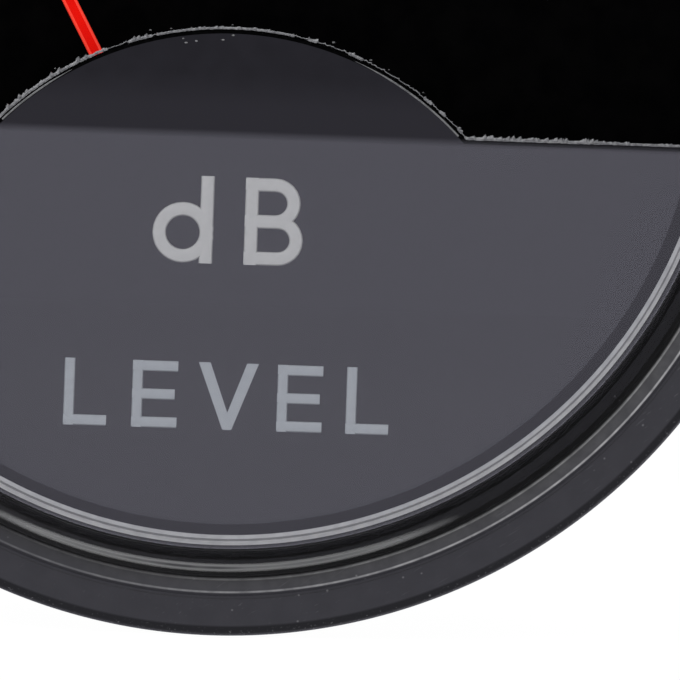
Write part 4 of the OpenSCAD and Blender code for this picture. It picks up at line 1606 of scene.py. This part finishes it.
@dataclass
class Studio:
    """White table and surroundings, soft lamps and the photograph's camera.

    Attributes:
        distance: Distance from the camera to the flange.
        plane: Height of the flange's shoulder, which the framing is measured on.
        eye: x and up of the camera.
        aim: x and up of the middle of the picture on that plane.
        width: Width of the picture on that plane.
        roll: Turn of the camera, in degrees, that lowers level lines to the right.
        table_up: Level of the table.
        surround: Light from all round on matte surfaces.
        mirrored: The surroundings where they are mirrored or seen through the lens.
        flag_low: Level of the dark card's lower edge.
        flag_fade: Height over which that edge fades.
        flag_back: Distance of the dark card from the panel.
        lamps: Name, place (x, up and height), side and power in watts of each lamp.
    """

    distance: float = 250.0
    plane: float = 2.0
    eye: Point = (-5.0, -10.0)
    aim: Point = (5.263, -12.6)
    width: float = 30.35
    roll: float = 2.0
    table_up: float = -26.0
    surround: Colour = (0.55, 0.55, 0.55)
    mirrored: Colour = (0.74, 0.73, 0.87)
    flag_low: float = 10.8
    flag_fade: float = 1.3
    flag_back: float = 600.0
    lamps: tuple[tuple[str, Triple, float, float], ...] = (
        ("key", (-260.0, 330.0, 520.0), 420.0, 1.9),
        ("fill", (340.0, -135.0, 500.0), 430.0, 0.95),
    )

    def build(self) -> None:
        """Sets up colour management, camera, surroundings, table, dark card and lamps."""
        scene = bpy.context.scene
        scene.view_settings.view_transform = "Standard"
        self.camera(scene)
        self.world(scene)
        self.table()
        self.flag()
        for lamp in self.lamps:
            self.lamp(*lamp)

    def camera(self, scene: bpy.types.Scene) -> None:
        """Places the camera where the photograph was taken from."""
        data = bpy.data.cameras.new("photo_camera")
        data.sensor_width = 36.0
        data.lens = data.sensor_width * self.distance / self.width
        camera = bpy.data.objects.new("photo_camera", data)
        scene.collection.objects.link(camera)
        eye = at(*self.eye, self.plane + self.distance)
        gaze = at(*self.aim, self.plane) - eye
        camera.location = eye
        camera.rotation_mode = "QUATERNION"
        level = gaze.to_track_quat("-Z", "Y")
        camera.rotation_quaternion = level @ Quaternion((0, 0, 1), math.radians(self.roll))
        data.clip_start, data.clip_end = 0.01, 50.0
        scene.camera = camera

    def glow(self, tree: bpy.types.NodeTree, direct: float) -> Socket:
        """Colour of the white surroundings, by the kind of ray that looks.

        Args:
            tree: The node tree of the background or the table.
            direct: Brightness for camera rays.

        Returns:
            The colour.
        """
        path = tree.nodes.new("ShaderNodeLightPath")
        value: Socket | Colour = self.surround
        for name, colour in (
            ("Is Glossy Ray", self.mirrored),
            ("Is Transmission Ray", self.mirrored),
            ("Is Camera Ray", (direct, direct, direct)),
        ):
            pick = tree.nodes.new("ShaderNodeMix")
            pick.data_type = "RGBA"
            for key, given in ((0, path.outputs[name]), (6, value), (7, colour)):
                feed(pick.inputs[key], given)
            value = pick.outputs[2]
        return value

    def world(self, scene: bpy.types.Scene) -> None:
        """White background, and an even light that is weaker than it looks."""
        world = bpy.data.worlds.new("white_room")
        world.use_nodes = True
        scene.world = world
        tree = world.node_tree
        tree.links.new(self.glow(tree, 1.0), tree.nodes["Background"].inputs["Color"])

    def card(self, name: str, sides: Point, place: Vector, tilt: float, recipe: Recipe) -> Thing:
        """Stands a flat card in the studio.

        Args:
            name: Name of the card.
            sides: Its sides, in metres.
            place: Its middle.
            tilt: Turn from lying flat, in degrees.
            recipe: Its material.

        Returns:
            The card, which is not part of the meter.
        """
        bpy.ops.object.select_all(action="DESELECT")
        bpy.ops.mesh.primitive_plane_add(size=1.0, location=place, rotation=(math.radians(tilt), 0, 0))
        thing = named(name)
        thing.scale = (*sides, 1.0)
        bpy.ops.object.transform_apply(location=True, rotation=True, scale=True)
        thing.data.materials.append(recipe.material)
        return thing

    def table(self) -> None:
        """White table that mostly glows, so that it shows pure white and keeps a faint shadow."""
        recipe = Recipe("white table")
        recipe.set("Base Color", (0.8, 0.8, 0.8))
        recipe.set("Roughness", 0.9)
        glow = recipe.put("ShaderNodeEmission", {"Color": self.glow(recipe.tree, 1.06)})
        recipe.mix_shaders(0.93, recipe.shader.outputs[0], glow.outputs[0])
        self.card("table", (6.0, 6.0), Vector((0.0, 0.0, self.table_up * MM)), 0.0, recipe)

    def flag(self) -> None:
        """Dark card behind the camera; the flat of the lens mirrors its lower edge."""
        recipe = Recipe("dark flag")
        recipe.set("Base Color", (0.0, 0.0, 0.0))
        recipe.set("Roughness", 1.0)
        recipe.set("Specular IOR Level", 0.0)
        soft = recipe.span(recipe.axis(2), self.flag_low * MM, (self.flag_low + self.flag_fade) * MM)
        clear = recipe.put("ShaderNodeBsdfTransparent", {})
        recipe.mix_shaders(soft, clear.outputs[0], recipe.shader.outputs[0])
        width, height = 1.6, 0.5
        middle = at(0.0, self.flag_low + height / 2 / MM, self.flag_back)
        thing = self.card("dark_flag", (width, height), middle, 90.0, recipe)
        thing.visible_camera = False
        thing.visible_diffuse = False
        thing.visible_shadow = False

    def lamp(self, name: str, place: Triple, size: float, power: float) -> None:
        """Soft square lamp aimed at the meter.

        Args:
            name: Name of the lamp.
            place: x, up and height of the lamp.
            size: Side of the lamp.
            power: Power in watts.
        """
        data = bpy.data.lights.new(name, "AREA")
        data.size, data.energy = size * MM, power
        lamp = bpy.data.objects.new(name, data)
        bpy.context.scene.collection.objects.link(lamp)
        lamp.location = at(*place)
        lamp.rotation_mode = "QUATERNION"
        lamp.rotation_quaternion = (-lamp.location).to_track_quat("-Z", "Y")
        lamp.visible_camera = False
        lamp.visible_transmission = False


def main() -> None:
    """Builds the meter's pieces in order, and then the studio."""
    logging.basicConfig(level=logging.INFO, format="%(name)s: %(message)s")
    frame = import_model()
    Studio().build()
    shop = Paintshop()
    shop.coat_nodes(frame)
    for kind in (Housing, Lens, CoverPlate, CoverPrint, Needle, RearFittings, DialPrint):
        kind().build(shop)


if __name__ == "__main__":
    main()
